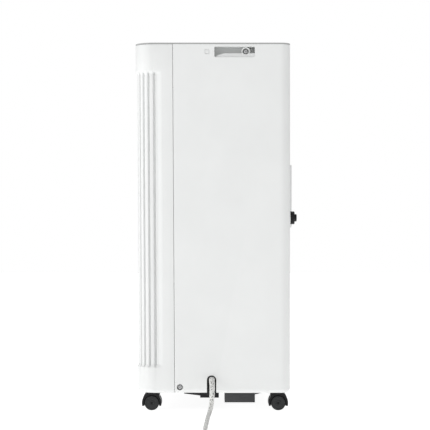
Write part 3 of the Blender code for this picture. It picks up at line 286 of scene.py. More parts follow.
# Cord strap: a thin black band wrapped once round the coil's bundle, its end
# tucked under, as the lead is packed at the factory.
def turned(profile, centre, axis, steps=48, closed=False):
    """Turns (radius, height) points about an axis through centre, heights along it."""
    bm = bmesh.new()
    verts = [bm.verts.new((radius, 0, height)) for radius, height in profile]
    edges = [bm.edges.new(pair) for pair in zip(verts, verts[1:])]
    if closed:
        edges.append(bm.edges.new((verts[-1], verts[0])))
    bmesh.ops.spin(
        bm,
        geom=verts + edges,
        cent=(0, 0, 0),
        axis=(0, 0, 1),
        angle=2 * math.pi,
        steps=steps,
        use_merge=True,
    )
    bmesh.ops.remove_doubles(bm, verts=bm.verts[:], dist=1e-6)
    bmesh.ops.recalc_face_normals(bm, faces=bm.faces[:])
    turn = Vector(axis).to_track_quat("Z", "Y").to_matrix().to_4x4()
    place = Matrix.Translation(centre) @ turn
    bmesh.ops.transform(bm, matrix=place, verts=bm.verts[:])
    return bm


def block(low, high):
    bm = bmesh.new()
    low, high = Vector(low), Vector(high)
    place = Matrix.LocRotScale((low + high) / 2, None, high - low)
    bmesh.ops.create_cube(bm, size=1, matrix=place)
    return bm


def prism(outline, across, low, high):
    """An outline in the two other axes, extruded along axis number across."""
    bm = bmesh.new()
    others = [axis for axis in range(3) if axis != across]
    verts = []
    for point in outline:
        place = [0, 0, 0]
        place[across] = low
        place[others[0]], place[others[1]] = point
        verts.append(bm.verts.new(place))
    face = bm.faces.new(verts)
    grown = bmesh.ops.extrude_face_region(bm, geom=[face])["geom"]
    move = [0, 0, 0]
    move[across] = high - low
    bmesh.ops.translate(bm, vec=move, verts=[g for g in grown if isinstance(g, bmesh.types.BMVert)])
    bmesh.ops.recalc_face_normals(bm, faces=bm.faces[:])
    return bm


def rod(start, end, radius, segments=40):
    bm = bmesh.new()
    start, end = Vector(start), Vector(end)
    turn = (end - start).to_track_quat("Z", "Y")
    bmesh.ops.create_cone(
        bm,
        cap_ends=True,
        segments=segments,
        radius1=radius,
        radius2=radius,
        depth=(end - start).length,
        matrix=Matrix.LocRotScale((start + end) / 2, turn, None),
    )
    return bm


def arc(centre, radius, start, end, steps):
    angles = [math.radians(start + (end - start) * i / steps) for i in range(steps + 1)]
    return [(centre[0] + radius * math.cos(a), centre[1] + radius * math.sin(a)) for a in angles]


def rounded(low, high, radius, steps=6):
    left, right = low[0] + radius, high[0] - radius
    bottom, top = low[1] + radius, high[1] - radius
    return (
        arc((right, bottom), radius, -90, 0, steps)
        + arc((right, top), radius, 0, 90, steps)
        + arc((left, top), radius, 90, 180, steps)
        + arc((left, bottom), radius, 180, 270, steps)
    )


def shaped(bm, joins=(), cuts=(), wall=0.0):
    """The shape with these joined to it and these cut from it, after a wall has been given to it."""
    held = []

    def hold(shape):
        mesh = bpy.data.meshes.new("tool")
        shape.to_mesh(mesh)
        shape.free()
        tool = bpy.data.objects.new("tool", mesh)
        studio.collection.objects.link(tool)
        held.append(tool)
        return tool

    base = hold(bm)
    if wall:
        shell = base.modifiers.new("wall", "SOLIDIFY")
        shell.thickness = wall
        shell.offset = -1
        shell.use_even_offset = True
    for operation, shapes in (("UNION", joins), ("DIFFERENCE", cuts)):
        for shape in shapes:
            step = base.modifiers.new("tool", "BOOLEAN")
            step.operation = operation
            step.solver = "EXACT"
            step.object = hold(shape)
    bpy.context.view_layer.update()
    graph = bpy.context.evaluated_depsgraph_get()
    mesh = bpy.data.meshes.new_from_object(base.evaluated_get(graph))
    made = bmesh.new()
    made.from_mesh(mesh)
    bmesh.ops.remove_doubles(made, verts=made.verts[:], dist=1e-6)
    bpy.data.meshes.remove(mesh)
    for tool in held:
        used = tool.data
        bpy.data.objects.remove(tool)
        bpy.data.meshes.remove(used)
    return made


def finished(name, bm, finish, body, slot, *nodes, edge=0.0, segments=2, over=38):
    """A mesh piece, smooth except at its sharp edges, which get a small round of their own."""
    mesh = bpy.data.meshes.new(name)
    bm.to_mesh(mesh)
    bm.free()
    mesh.shade_smooth()
    if not edge:
        mesh.set_sharp_from_angle(angle=math.radians(over))
    made = settled(name, mesh, finish, body, slot, *nodes)
    if edge:
        soft = made.modifiers.new("edges", "BEVEL")
        soft.width = edge
        soft.segments = segments
        soft.limit_method = "ANGLE"
        soft.angle_limit = math.radians(over)
        soft.harden_normals = True
        soft.use_clamp_overlap = True
    return made


strap_at = Vector((coil_centre[0] + coil_radius, coil_centre[1], CORD_LIE + 0.0046))
STRAP_WIDE = 0.008
STRAP_THICK = 0.0009
strap_inner = rounded((-0.0096, -0.0090), (0.0096, 0.0097), 0.0044)
strap_outer = rounded((-0.0096 - STRAP_THICK, -0.0090), (0.0096 + STRAP_THICK, 0.0097 + STRAP_THICK), 0.0050)
strap_outer = [(x + strap_at.x, z + strap_at.z) for x, z in strap_outer]
strap_inner = [(x + strap_at.x, z + strap_at.z + 0.0001) for x, z in strap_inner]
strap_bm = shaped(
    prism(strap_outer, 1, strap_at.y - STRAP_WIDE / 2, strap_at.y + STRAP_WIDE / 2),
    cuts=[prism(strap_inner, 1, strap_at.y - STRAP_WIDE, strap_at.y + STRAP_WIDE)],
)
strap_cloth = moulded("black strap", (0.03, 0.03, 0.032), 0.75, 0.0005, 0.00012, 0.10)
cord_strap = finished("cord_strap", strap_bm, strap_cloth, "cabinet", "cord_grey", edge=0.0002)

# Plug: a round two-pin plug moulded onto the lead, with grip rings on its body
# and two plated pins with rounded tips.
PIN_RADIUS = 0.0024
PIN_APART = 0.0095
plug_profile = [
    (0, 0.0360),
    (0.0165, 0.0360),
    (0.0180, 0.0352),
    (0.0185, 0.0335),
    (0.0185, 0.0290),
    (0.0176, 0.0284),
    (0.0176, 0.0272),
    (0.0184, 0.0266),
    (0.0184, 0.0250),
    (0.0175, 0.0244),
    (0.0175, 0.0232),
    (0.0182, 0.0226),
    (0.0180, 0.0200),
    (0.0165, 0.0160),
    (0.0132, 0.0115),
    (0.0100, 0.0080),
    (0.0078, 0.0045),
    (0.0064, 0.0010),
    (0.0056, 0),
    (0, 0),
]
plug_start = (plug_back, plug_middle.y, plug_middle.z)
plug_bm = shaped(turned(plug_profile, plug_start, (1, 0, 0), 56))
plug_body = finished("plug_body", plug_bm, pvc, "cabinet", "plug_grey", "power_plug", edge=0.0002)


def metal(name, colour, roughness, stretch=(1, 1, 1), depth=0.00002):
    """Bare or plated metal with fine drawn lines and small changes of gloss."""
    made = bpy.data.materials.new(name)
    made.use_nodes = True
    tree = made.node_tree
    shader = tree.nodes["Principled BSDF"]
    shader.inputs["Metallic"].default_value = 1.0
    tone = blended(tree, noise(tree, 40, 4), [c * 0.86 for c in colour], colour)
    tree.links.new(tone, shader.inputs["Base Color"])
    gloss = levels(tree, noise(tree, 300, 3, stretch), roughness - 0.07, roughness + 0.07)
    tree.links.new(gloss, shader.inputs["Roughness"])
    tree.links.new(relief(tree, noise(tree, 900, 2, stretch), depth), shader.inputs["Normal"])
    return made


plated = metal("plated brass", (0.78, 0.77, 0.72), 0.25, (0.1, 1, 1))
pin_profile = [
    (0, 0.0560),
    (0.0012, 0.0557),
    (0.0020, 0.0549),
    (PIN_RADIUS, 0.0536),
    (PIN_RADIUS, 0.0350),
    (0, 0.0350),
]
for side, pin_name in ((-1, "plug_pin_left"), (1, "plug_pin_right")):
    pin_start = (plug_back - 0.0012, plug_middle.y + side * PIN_APART, plug_middle.z)
    pin_bm = turned(pin_profile, pin_start, (1, 0, 0), 24)
    finished(pin_name, pin_bm, plated, "cabinet", "plug_grey", over=50)

# Strain relief: a tapered sleeve with fine relief grooves, moulded round the lead where
# it comes out of the slot and bending down with it, in the same flecked grey.
SLEEVE_RADIUS = 0.0056
SLEEVE_STEPS = 40
SLEEVE_SPANS = 5
SLEEVE_TAPER = 0.13
RELIEF_GROOVES = 17
RELIEF_DEPTH = 0.03
sleeve = bpy.data.curves.new("cord_sleeve", "CURVE")
sleeve.dimensions = "3D"
sleeve.bevel_depth = SLEEVE_RADIUS
sleeve.bevel_resolution = 6
sleeve.use_fill_caps = True
sleeve_line = [Vector(place) for place in cord_line[: SLEEVE_SPANS + 2]]
sleeve_points = []
for step in range(SLEEVE_STEPS + 1):
    share = step / SLEEVE_STEPS
    at = share * SLEEVE_SPANS
    index = min(int(at), SLEEVE_SPANS - 1)
    part_way = at - index
    before = sleeve_line[max(index - 1, 0)]
    a, b, after = sleeve_line[index : index + 3]
    spot = 0.5 * (
        2 * a
        + (b - before) * part_way
        + (2 * before - 5 * a + 4 * b - after) * part_way**2
        + (3 * a - before - 3 * b + after) * part_way**3
    )
    taper = 1 - SLEEVE_TAPER * share
    in_groove = math.sin(share * math.pi * RELIEF_GROOVES) > 0.2 and 0.10 < share < 0.9
    sleeve_points.append((spot, taper - RELIEF_DEPTH * in_groove))
sleeve_run = sleeve.splines.new("POLY")
sleeve_run.points.add(len(sleeve_points) - 1)
for knot, (place, wide) in zip(sleeve_run.points, sleeve_points):
    knot.co = (*place, 1)
    knot.radius = wide
cord_sleeve = settled("cord_sleeve", sleeve, flecked, "cabinet", "cord_grey")

# Front shell: one fluted moulding in white ABS that wraps the front and a fifth of
# each side, leaning back slightly to its foot. The flutes run down between two
# ramps, and the edges at the seam turn in to hide the joint.
CORNER = 0.035
FOOT_ROUND = 0.008
LEAN = 0.004
SEAM_BACK = 0.0728
FLUTE_LOW = 0.084
FLUTE_TOP_MARGIN = 0.053
FLUTE_RAMP = 0.0075
FLUTE_RECESS = 0.003
FLUTE_PITCH = 0.012
FLUTE_SIDE = 0.0019
SHELL_WALL = 0.0016
front_low, front_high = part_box("front_shell")
half = front_high.x
front = front_low.y
foot = front_low.z
shell_top = front_high.z
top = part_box("top_lid")[1].z
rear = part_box("lower_grille")[1].y
whole_front = CORNER * math.pi + 2 * half - 2 * CORNER


def lean(z):
    return LEAN * (top - z) / (top - foot)


def front_station(s):
    """Where a point s along the front's outline lies, and which way it faces there."""
    quarter = CORNER * math.pi / 2
    if s > whole_front / 2:
        x, back, nx, ny = front_station(whole_front - s)
        return -x, back, -nx, ny
    if s < 0:
        return half, CORNER - s, 1, 0
    if s < quarter:
        a = s / CORNER
        return half - CORNER * (1 - math.cos(a)), CORNER * (1 - math.sin(a)), math.cos(a), -math.sin(a)
    return half - CORNER - (s - quarter), 0, 0, -1


groove = [
    (-0.0042, -0.00018),
    (-0.0032, -0.00010),
    (-0.0027, 0.00006),
    (-0.0024, 0.00040),
    (-0.00220, 0.00140),
    (-0.00200, 0.00290),
    (-0.00170, 0.00440),
    (-0.00120, 0.00530),
    (0, 0.0056),
]
groove += [(-along, deep) for along, deep in reversed(groove[:-1])]
seam_at = CORNER - SEAM_BACK
turned_in = [(0, 0.0034), (0, 0.0010), (0.0002, 0.0004), (0.0005, 0.00012), (0.0011, 0)]
side_line = [(seam_at + along, deep, 0) for along, deep in turned_in]
for along, deep in (
    (-0.0168, 0),
    (-0.0158, 0.0001),
    (-0.0140, 0.0007),
    (-0.0115, 0.0016),
    (-0.0092, 0.0025),
    (-0.0078, 0.0029),
    (-0.0066, 0.0030),
):
    side_line.append((along, 0, deep))
flute_count = round((whole_front + 2 * FLUTE_SIDE) / FLUTE_PITCH)
flute_pitch = (whole_front + 2 * FLUTE_SIDE) / flute_count
outline = list(side_line)
for flute in range(flute_count + 1):
    for along, deep in groove:
        outline.append((flute * flute_pitch - FLUTE_SIDE + along, 0, FLUTE_RECESS + deep))
outline += [(whole_front - along, inset, deep) for along, inset, deep in reversed(side_line)]


def front_ring(z, inset, fluted):
    ring = []
    for s, edge_inset, deep in outline:
        x, back, nx, ny = front_station(s)
        into = inset + edge_inset + deep * fluted
        ring.append((x - nx * into, front + lean(z) + back - ny * into, z))
    return ring


def foot_rings():
    """(height, inset) up round the lower edge, from its turned-in flange."""
    found = [(foot, FOOT_ROUND + 0.003)]
    for step in range(9):
        a = math.radians(90 * step / 8)
        found.append((foot + FOOT_ROUND * (1 - math.cos(a)), FOOT_ROUND * (1 - math.sin(a))))
    return found


def top_rings():
    """(height, inset) round the upper edge, to its turned-in flange."""
    drops = [(0, 0.0010), (0.00012, 0.0004), (0.0004, 0.0001), (0.0010, 0), (0.0034, 0)]
    return [(shell_top - drop, inset) for inset, drop in drops]


def drawn_up(rings):
    """A wall drawn up through rings of points, one extrusion for each."""
    bm = bmesh.new()
    row = [bm.verts.new(place) for place in rings[0]]
    edges = [bm.edges.new(pair) for pair in zip(row, row[1:])]
    for ring in rings[1:]:
        grown = bmesh.ops.extrude_edge_only(bm, edges=edges)["geom"]
        fresh = {g for g in grown if isinstance(g, bmesh.types.BMVert)}
        above = []
        for vert in row:
            above.append(next(e.other_vert(vert) for e in vert.link_edges if e.other_vert(vert) in fresh))
        for vert, place in zip(above, ring):
            vert.co = place
        row = above
        edges = [bm.edges.get(pair) for pair in zip(row, row[1:])]
    bmesh.ops.recalc_face_normals(bm, faces=bm.faces[:])
    outwards = sum(f.normal.x * f.calc_center_median().x for f in bm.faces)
    if outwards < 0:
        bmesh.ops.reverse_faces(bm, faces=bm.faces[:])
    return bm


casing_white = moulded("white casing", (0.80, 0.81, 0.805), 0.36, 0.0008, 0.00003, 0.012)
front_rings = [front_ring(z, inset, 0) for z, inset in foot_rings()]
flute_high = top - FLUTE_TOP_MARGIN
ramp = (0, 0.12, 0.3, 0.5, 0.7, 0.88, 1)
for share in ramp:
    front_rings.append(front_ring(FLUTE_LOW + FLUTE_RAMP * share, 0, ease(share, 0, 1)))
for share in reversed(ramp):
    front_rings.append(front_ring(flute_high - FLUTE_RAMP * share, 0, ease(share, 0, 1)))
front_rings += [front_ring(z, inset, 0) for z, inset in top_rings()]
front_bm = shaped(drawn_up(front_rings), wall=SHELL_WALL)
for vert in front_bm.verts:  # where two turned-in edges meet, the wall's inside may hang too low
    vert.co.z = max(vert.co.z, foot)
finished("front_casing", front_bm, casing_white, "cabinet", "casing_white", "front_shell", over=50)

# Rear shell: the back and most of both sides in the same white ABS, with openings for
# the handle cups, the cord slot, the two intakes, the outlet duct and the drain, two
# screw pockets low by the seam, and a plain moulded square before the right handle.
REAR_CORNER = 0.020
REAR_WALL = 0.0024
HANDLE_ROUND = 0.003
SCREW_POCKET = 0.0060
SCREW_CLEAR = 0.0023
WELL_IN = 0.0042
WELL_OUT = 0.0062
SIDE_SCREW_RISE = 0.0116
SIDE_SCREW_BACK = 0.0103
BOSS_WALL = 0.0015
POCKET_IN = 0.0055
BOSS_IN = 0.0109
HANDLE_FRONT_IN = 0.1467
HANDLE_REAR_IN = 0.0687
HANDLE_LOW_IN = 0.0280
HANDLE_TOP_IN = 0.0075
SLOT_IN = 0.1520
SLOT_RISE = 0.0346
SLOT_HALF = 0.009
SLOT_RIM = 0.0016
DRAIN_IN = 0.043
DRAIN_DROP = 0.337
DRAIN_PAD = 0.0147
DRAIN_HOLE = 0.0065
WINDOW_IN = 0.043
DUCT_IN = 0.094
PLATE_RIM = 0.014
through = 0.02
handle_low = (rear - HANDLE_FRONT_IN, top - HANDLE_LOW_IN)
handle_high = (rear - HANDLE_REAR_IN, top - HANDLE_TOP_IN)
screw_high = foot + SIDE_SCREW_RISE
side_screw = (front + SEAM_BACK + lean(screw_high) + SIDE_SCREW_BACK, screw_high)
side_pocket = half - POCKET_IN
boss_end = half - BOSS_IN
slot_y = rear - SLOT_IN
slot_top = foot + SLOT_RISE
drain = (half - DRAIN_IN, top - DRAIN_DROP)
window_half = half - WINDOW_IN
duct_half = half - DUCT_IN


def rear_ring(z, inset):
    wide, seam = half - inset, front + SEAM_BACK + 0.0006 + lean(z)
    corner = REAR_CORNER - inset
    right = [(wide, seam)] + arc((wide - corner, rear - inset - corner), corner, 0, 90, 14)
    return [(x, y, z) for x, y in right] + [(-x, y, z) for x, y in reversed(right)]


def screw_well(middle, start, end):
    """A ring-shaped clearance cut round a screw's seat."""
    deep = abs(end - start)
    return turned(
        [(WELL_IN, 0), (WELL_OUT, 0), (WELL_OUT, deep), (WELL_IN, deep)],
        (start, *middle),
        (math.copysign(1, end - start), 0, 0),
        40,
        closed=True,
    )


def slot_outline(grow):
    half_wide = SLOT_HALF + grow
    arch = arc((slot_y, slot_top - SLOT_HALF), half_wide, 0, 180, 20)
    return [(slot_y + half_wide, foot - 0.004)] + arch + [(slot_y - half_wide, foot - 0.004)]


rear_joins = []
rear_cuts = []
for side in (-1, 1):
    boss_face = (side * (half - 0.001), *side_screw)
    rear_joins.append(rod((side * boss_end, *side_screw), boss_face, SCREW_POCKET + BOSS_WALL))
    outside = (side * (half + through), *side_screw)
    rear_cuts.append(rod((side * side_pocket, *side_screw), outside, SCREW_POCKET))
    inside = (side * (half - through), *side_screw)
    rear_cuts.append(rod(inside, (side * half, *side_screw), SCREW_CLEAR))
    ring_depth = (side * (side_pocket - 0.0042), side * (side_pocket + 0.0002))
    rear_cuts.append(screw_well(side_screw, *ring_depth))
    sides = sorted((side * (half - through), side * (half + through)))
    rear_cuts.append(prism(rounded(handle_low, handle_high, HANDLE_ROUND), 0, *sides))
below_rim = block(
    (half - 0.01, slot_y - 0.05, foot - 0.02),
    (half + 0.01, slot_y + 0.05, foot + FOOT_ROUND),
)
rim = prism(slot_outline(SLOT_RIM), 0, half - 0.001, half + 0.0005)
rear_joins.append(shaped(rim, cuts=[below_rim]))
drain_pad = ((drain[0], rear - 0.0012, drain[1]), (drain[0], rear + 0.0014, drain[1]))
rear_joins.append(rod(*drain_pad, DRAIN_PAD))
rear_cuts.append(prism(slot_outline(0), 0, half - through, half + through))
for node in ("upper_grille", "lower_grille"):
    low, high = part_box(node)
    rear_cuts.append(
        block(
            (-window_half, rear - through, low.z - 0.001),
            (window_half, rear + through, high.z + 0.001),
        )
    )
plate_low, plate_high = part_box("exhaust_plate")
rear_cuts.append(
    block(
        (-duct_half, rear - through, plate_low.z + PLATE_RIM),
        (duct_half, rear + through, plate_high.z - PLATE_RIM),
    )
)
drain_hole = ((drain[0], rear - through, drain[1]), (drain[0], rear + through, drain[1]))
rear_cuts.append(rod(*drain_hole, DRAIN_HOLE))
MARK_HALF = 0.0044
MARK_LINE = 0.0013
MARK_DEEP = 0.0017
mark_at = (-0.0178, top - 0.0176)


def mark_square(reach, corner):
    low = (mark_at[0] - reach, mark_at[1] - reach)
    high = (mark_at[0] + reach, mark_at[1] + reach)
    return rounded(low, high, corner, 3)


mark_middle = prism(mark_square(MARK_HALF - MARK_LINE, 0.0004), 0, half - 0.003, half + 0.004)
mark = prism(mark_square(MARK_HALF, 0.0006), 0, half - MARK_DEEP, half + 0.002)
rear_cuts.append(shaped(mark, cuts=[mark_middle]))
rear_rings = [rear_ring(z, inset) for z, inset in foot_rings()[1:] + [(shell_top, 0)]]
rear_bm = shaped(drawn_up(rear_rings), rear_joins, rear_cuts, REAR_WALL)
finished(
    "rear_casing",
    rear_bm,
    casing_white,
    "cabinet",
    "casing_white",
    "rear_shell",
    edge=0.00035,
    over=50,
)


# Handle cups: white boxes clipped behind the side openings, each with a sloping
# floor for the fingers and a screw boss at its rear end.
def copied(node):
    """The CAD node's own solid, merged into clean faces."""
    bm = bmesh.new()
    bm.from_mesh(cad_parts[node].data)
    bmesh.ops.remove_doubles(bm, verts=bm.verts[:], dist=2e-6)
    bmesh.ops.dissolve_limit(bm, angle_limit=math.radians(0.6), verts=bm.verts[:], edges=bm.edges[:])
    return bm


CUP_MOUTH_IN = 0.0027
BOSS_SUNK = 0.006
SEAT_SUNK = 0.004
SEAT_FORWARD = 0.0175
SEAT_LIFT = 0.0018
WELL_DEEP = 0.0080
seat = (handle_high[0] - SEAT_FORWARD, (handle_low[1] + handle_high[1]) / 2 + SEAT_LIFT)
seat_face = half - CUP_MOUTH_IN - BOSS_SUNK - SEAT_SUNK
for side_name, side in (("right", 1), ("left", -1)):
    node = "handle_cup_" + side_name
    well = screw_well(seat, side * (seat_face - WELL_DEEP), side * (seat_face + 0.0002))
    finished(
        "grip_cup_" + side_name,
        shaped(copied(node), cuts=[well]),
        casing_white,
        "cabinet",
        "casing_white",
        node,
        edge=0.0006,
        segments=3,
    )

# Screws: plated pan-head machine screws with a cross recess, one in each handle cup
# and one low on each side, sunk in their pockets.
SCREW_HEAD = 0.0044
SCREW_SHANK = 0.0020
screw_steel = metal("plated screw", (0.56, 0.56, 0.57), 0.30)
for node in ("handle_screw_right", "handle_screw_left", "side_screw_right", "side_screw_left"):
    low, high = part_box(node)
    middle = (low + high) / 2
    side = 1 if middle.x > 0 else -1
    face = high.x if side > 0 else low.x
    length = high.x - low.x
    screw_profile = [
        (0, 0),
        (0.0022, -0.0001),
        (0.0034, -0.0004),
        (0.0041, -0.0009),
        (SCREW_HEAD, -0.0015),
        (SCREW_HEAD, -0.0022),
        (SCREW_SHANK, -0.0022),
        (SCREW_SHANK, -length + 0.001),
        (0.0012, -length),
        (0, -length),
    ]
    head = Vector((face, middle.y, middle.z))
    recess = []
    for angle in (25, 115):
        blade = block((-0.0016, -0.0025, -0.00045), (0.002, 0.0025, 0.00045))
        turn = Matrix.Translation(head) @ Matrix.Rotation(math.radians(angle), 4, "X")
        turn = turn @ Matrix.Diagonal((side, 1, 1, 1))
        bmesh.ops.transform(blade, matrix=turn, verts=blade.verts[:])
        bmesh.ops.recalc_face_normals(blade, faces=blade.faces[:])
        recess.append(blade)
    pit = turned(
        [(0, -0.0036), (0.0017, 0.0001), (0.0017, 0.002), (0, 0.002)],
        head,
        (side, 0, 0),
        20,
    )
    screw_bm = shaped(turned(screw_profile, head, (side, 0, 0), 32), cuts=[*recess, pit])
    finished("panel_" + node, screw_bm, screw_steel, "cabinet", "screw_steel", node, over=30)

# Top lid: a thin grey plate that closes both shells, clipped in by a rim below it, with
# a long air outlet along its front and a window for the control panel.
LID_EDGE = 0.0025
lid_grey = moulded("grey lid", (0.40, 0.405, 0.40), 0.38, 0.0009, 0.00004, 0.02)


def plan(inset):
    near, far = CORNER - inset, REAR_CORNER - inset
    wide, low, high = half - inset, front + inset, rear - inset
    return (
        arc((wide - near, low + near), near, -90, 0, 18)
        + arc((wide - far, high - far), far, 0, 90, 14)
        + arc((far - wide, high - far), far, 90, 180, 14)
        + arc((near - wide, low + near), near, 180, 270, 18)
    )


OUTLET_IN = 0.051
OUTLET_BACK = 0.044
OUTLET_DEEP = 0.052
OUTLET_CLEAR = 0.0006
PANEL_CLEAR = 0.0003
panel_low, panel_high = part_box("control_panel")
outlet_x = half - OUTLET_IN + OUTLET_CLEAR
outlet_front = front + OUTLET_BACK - OUTLET_CLEAR
outlet_rear = outlet_front + OUTLET_DEEP + 2 * OUTLET_CLEAR
lid_low = top - LID_EDGE
panel_window = rounded(
    (panel_low.x - PANEL_CLEAR, panel_low.y - PANEL_CLEAR),
    (panel_high.x + PANEL_CLEAR, panel_high.y + PANEL_CLEAR),
    0.006,
)
lid_rim = shaped(
    prism(plan(0.0030), 2, lid_low - 0.0018, lid_low + 0.001),
    cuts=[prism(plan(0.0050), 2, lid_low - 0.01, lid_low + 0.0003)],
)
lid_bm = shaped(
    prism(plan(0), 2, lid_low, top),
    joins=[lid_rim],
    cuts=[
        block((-outlet_x, outlet_front, lid_low - through), (outlet_x, outlet_rear, top + through)),
        prism(panel_window, 2, lid_low - through, top + through),
    ],
)
finished(
    "lid_plate",
    lid_bm,
    lid_grey,
    "cabinet",
    "lid_grey",
    "top_lid",
    edge=0.0006,
    segments=3,
    over=50,
)

# Air outlet: a dark duct collar under the lid with upright fixed vanes, and a white
# flap hinged along its rear edge on two pins that a small motor drives.
dark_plastic = moulded("dark grey plastic", (0.055, 0.057, 0.06), 0.48, 0.0008, 0.00006, 0.06)
black_plastic = moulded("black plastic", (0.010, 0.010, 0.011), 0.42, 0.0009, 0.00006, 0.08)
black_plastic.node_tree.nodes["Principled BSDF"].inputs["Specular IOR Level"].default_value = 0.2
outlet_bm = copied("outlet_grille")
finished("outlet_collar", outlet_bm, dark_plastic, "cabinet", "dark_plastic", "outlet_grille", edge=0.0003)
FLAP_BARREL = 0.0054
FLAP_THICK = 0.0028
FLAP_PIN = 0.0016
axis_y = front + OUTLET_BACK + OUTLET_DEEP - FLAP_BARREL
axis_z = top - 0.0004 - FLAP_BARREL
flap_front = front + OUTLET_BACK
flap_top = axis_z + FLAP_BARREL
flap_outline = arc((axis_y, axis_z), FLAP_BARREL, 90, -150, 28) + [
    (axis_y - FLAP_BARREL + 0.0005, flap_top - FLAP_THICK),
    (flap_front, flap_top - FLAP_THICK),
    (flap_front, flap_top),
]
flap_half = half - OUTLET_IN
flap_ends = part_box("outlet_flap")
flap_pins = rod((flap_ends[0].x, axis_y, axis_z), (flap_ends[1].x, axis_y, axis_z), FLAP_PIN, 24)
groove_line = block(
    (-flap_half + 0.006, flap_front + 0.0052, flap_top - 0.0005),
    (flap_half - 0.006, flap_front + 0.0064, flap_top + 0.001),
)
flap_bm = shaped(prism(flap_outline, 0, -flap_half, flap_half), [flap_pins], [groove_line])
finished(
    "air_flap",
    flap_bm,
    casing_white,
    "outlet_flap",
    "casing_white",
    "outlet_flap",
    edge=0.0004,
    segments=3,
)

# Control panel: a gloss black plate with a smoked display window and five round grey
# push buttons, each dished for a fingertip, over a green circuit board.
panel_black = moulded("gloss black panel", (0.012, 0.012, 0.013), 0.16, 0.003, 0.00001, 0.05, 0.6)
panel_bm = copied("control_panel")
finished("panel_plate", panel_bm, panel_black, "cabinet", "panel_black", "control_panel", over=30)
smoked = moulded("smoked window", (0.006, 0.006, 0.008), 0.07, 0.004, 0.000005, 0.05, 1.0)
window_bm = copied("display_window")
finished("display_glass", window_bm, smoked, "cabinet", "display_glass", "display_window", over=30)
button_grey = moulded("button grey", (0.10, 0.102, 0.105), 0.40, 0.0006, 0.00003, 0.04)
for button in ("power_button", "mode_button", "fan_speed_button", "timer_button", "humidity_button"):
    low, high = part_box(button)
    middle = (low + high) / 2
    radius = (high.x - low.x) / 2
    button_profile = [
        (0, -0.0007),
        (radius * 0.35, -0.00058),
        (radius * 0.62, -0.00026),
        (radius * 0.78, -0.00004),
        (radius * 0.88, 0),
        (radius * 0.96, -0.00015),
        (radius, -0.0006),
        (radius, low.z - high.z + 0.0004),
        (radius - 0.0004, low.z - high.z),
        (0, low.z - high.z),
    ]
    button_bm = turned(button_profile, (middle.x, middle.y, high.z), (0, 0, 1), 48)
    finished(button + "_cap", button_bm, button_grey, button, "button_grey", button, over=50)

# Intake grilles: white slatted frames that swing down from the rear, each with its
# washable filter behind, and the fixed outlet plate between them.
for node, body in (("upper_grille", "upper_intake"), ("lower_grille", "lower_intake")):
    finished(node + "_frame", copied(node), casing_white, body, "casing_white", node, edge=0.0005)
finished(
    "outlet_plate",
    copied("exhaust_plate"),
    casing_white,
    "cabinet",
    "casing_white",
    "exhaust_plate",
    edge=0.0008,
    segments=3,
)

# Mid drain cap: a black push-on cap over the drain pipe, its skirt scalloped for grip.
cap_low, cap_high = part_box("mid_drain_cap")
cap_middle = (cap_low + cap_high) / 2
cap_radius = (cap_high.x - cap_low.x) / 2
cap_tall = cap_high.y - cap_low.y
CAP_TIP = 0.0072
CAP_BORE = 0.0061
CAP_STEP = 0.0042
cap_profile = [
    (0, cap_tall),
    (CAP_TIP - 0.0010, cap_tall),
    (CAP_TIP - 0.0003, cap_tall - 0.0003),
    (CAP_TIP, cap_tall - 0.0010),
    (CAP_TIP, cap_tall - CAP_STEP + 0.0004),
    (CAP_TIP + 0.0004, cap_tall - CAP_STEP),
    (cap_radius - 0.0012, cap_tall - CAP_STEP),
    (cap_radius - 0.0004, cap_tall - CAP_STEP - 0.0003),
    (cap_radius, cap_tall - CAP_STEP - 0.0011),
    (cap_radius, 0.0004),
    (cap_radius - 0.0004, 0),
    (CAP_BORE, 0),
    (CAP_BORE, cap_tall - CAP_STEP - 0.0012),
    (0, cap_tall - CAP_STEP - 0.0012),
]
cap_bm = turned(cap_profile, (0, 0, 0), (0, 0, 1), 96)
SCALLOPS = 16
SCALLOP_DEEP = 0.00035
for vert in cap_bm.verts:
    if math.hypot(vert.co.x, vert.co.y) > cap_radius - 0.0008 and vert.co.z > 0.0002:
        dip = SCALLOP_DEEP * (1 + math.cos(SCALLOPS * math.atan2(vert.co.y, vert.co.x))) / 2
        vert.co.xy *= 1 - dip / cap_radius
cap_turn = Vector((0, 1, 0)).to_track_quat("Z", "Y").to_matrix().to_4x4()
cap_turn = Matrix.Translation((cap_middle.x, cap_low.y, cap_middle.z)) @ cap_turn
bmesh.ops.transform(cap_bm, matrix=cap_turn, verts=cap_bm.verts[:])
finished("drain_cap", cap_bm, black_plastic, "mid_drain_cap", "black_plastic", "mid_drain_cap", over=50)

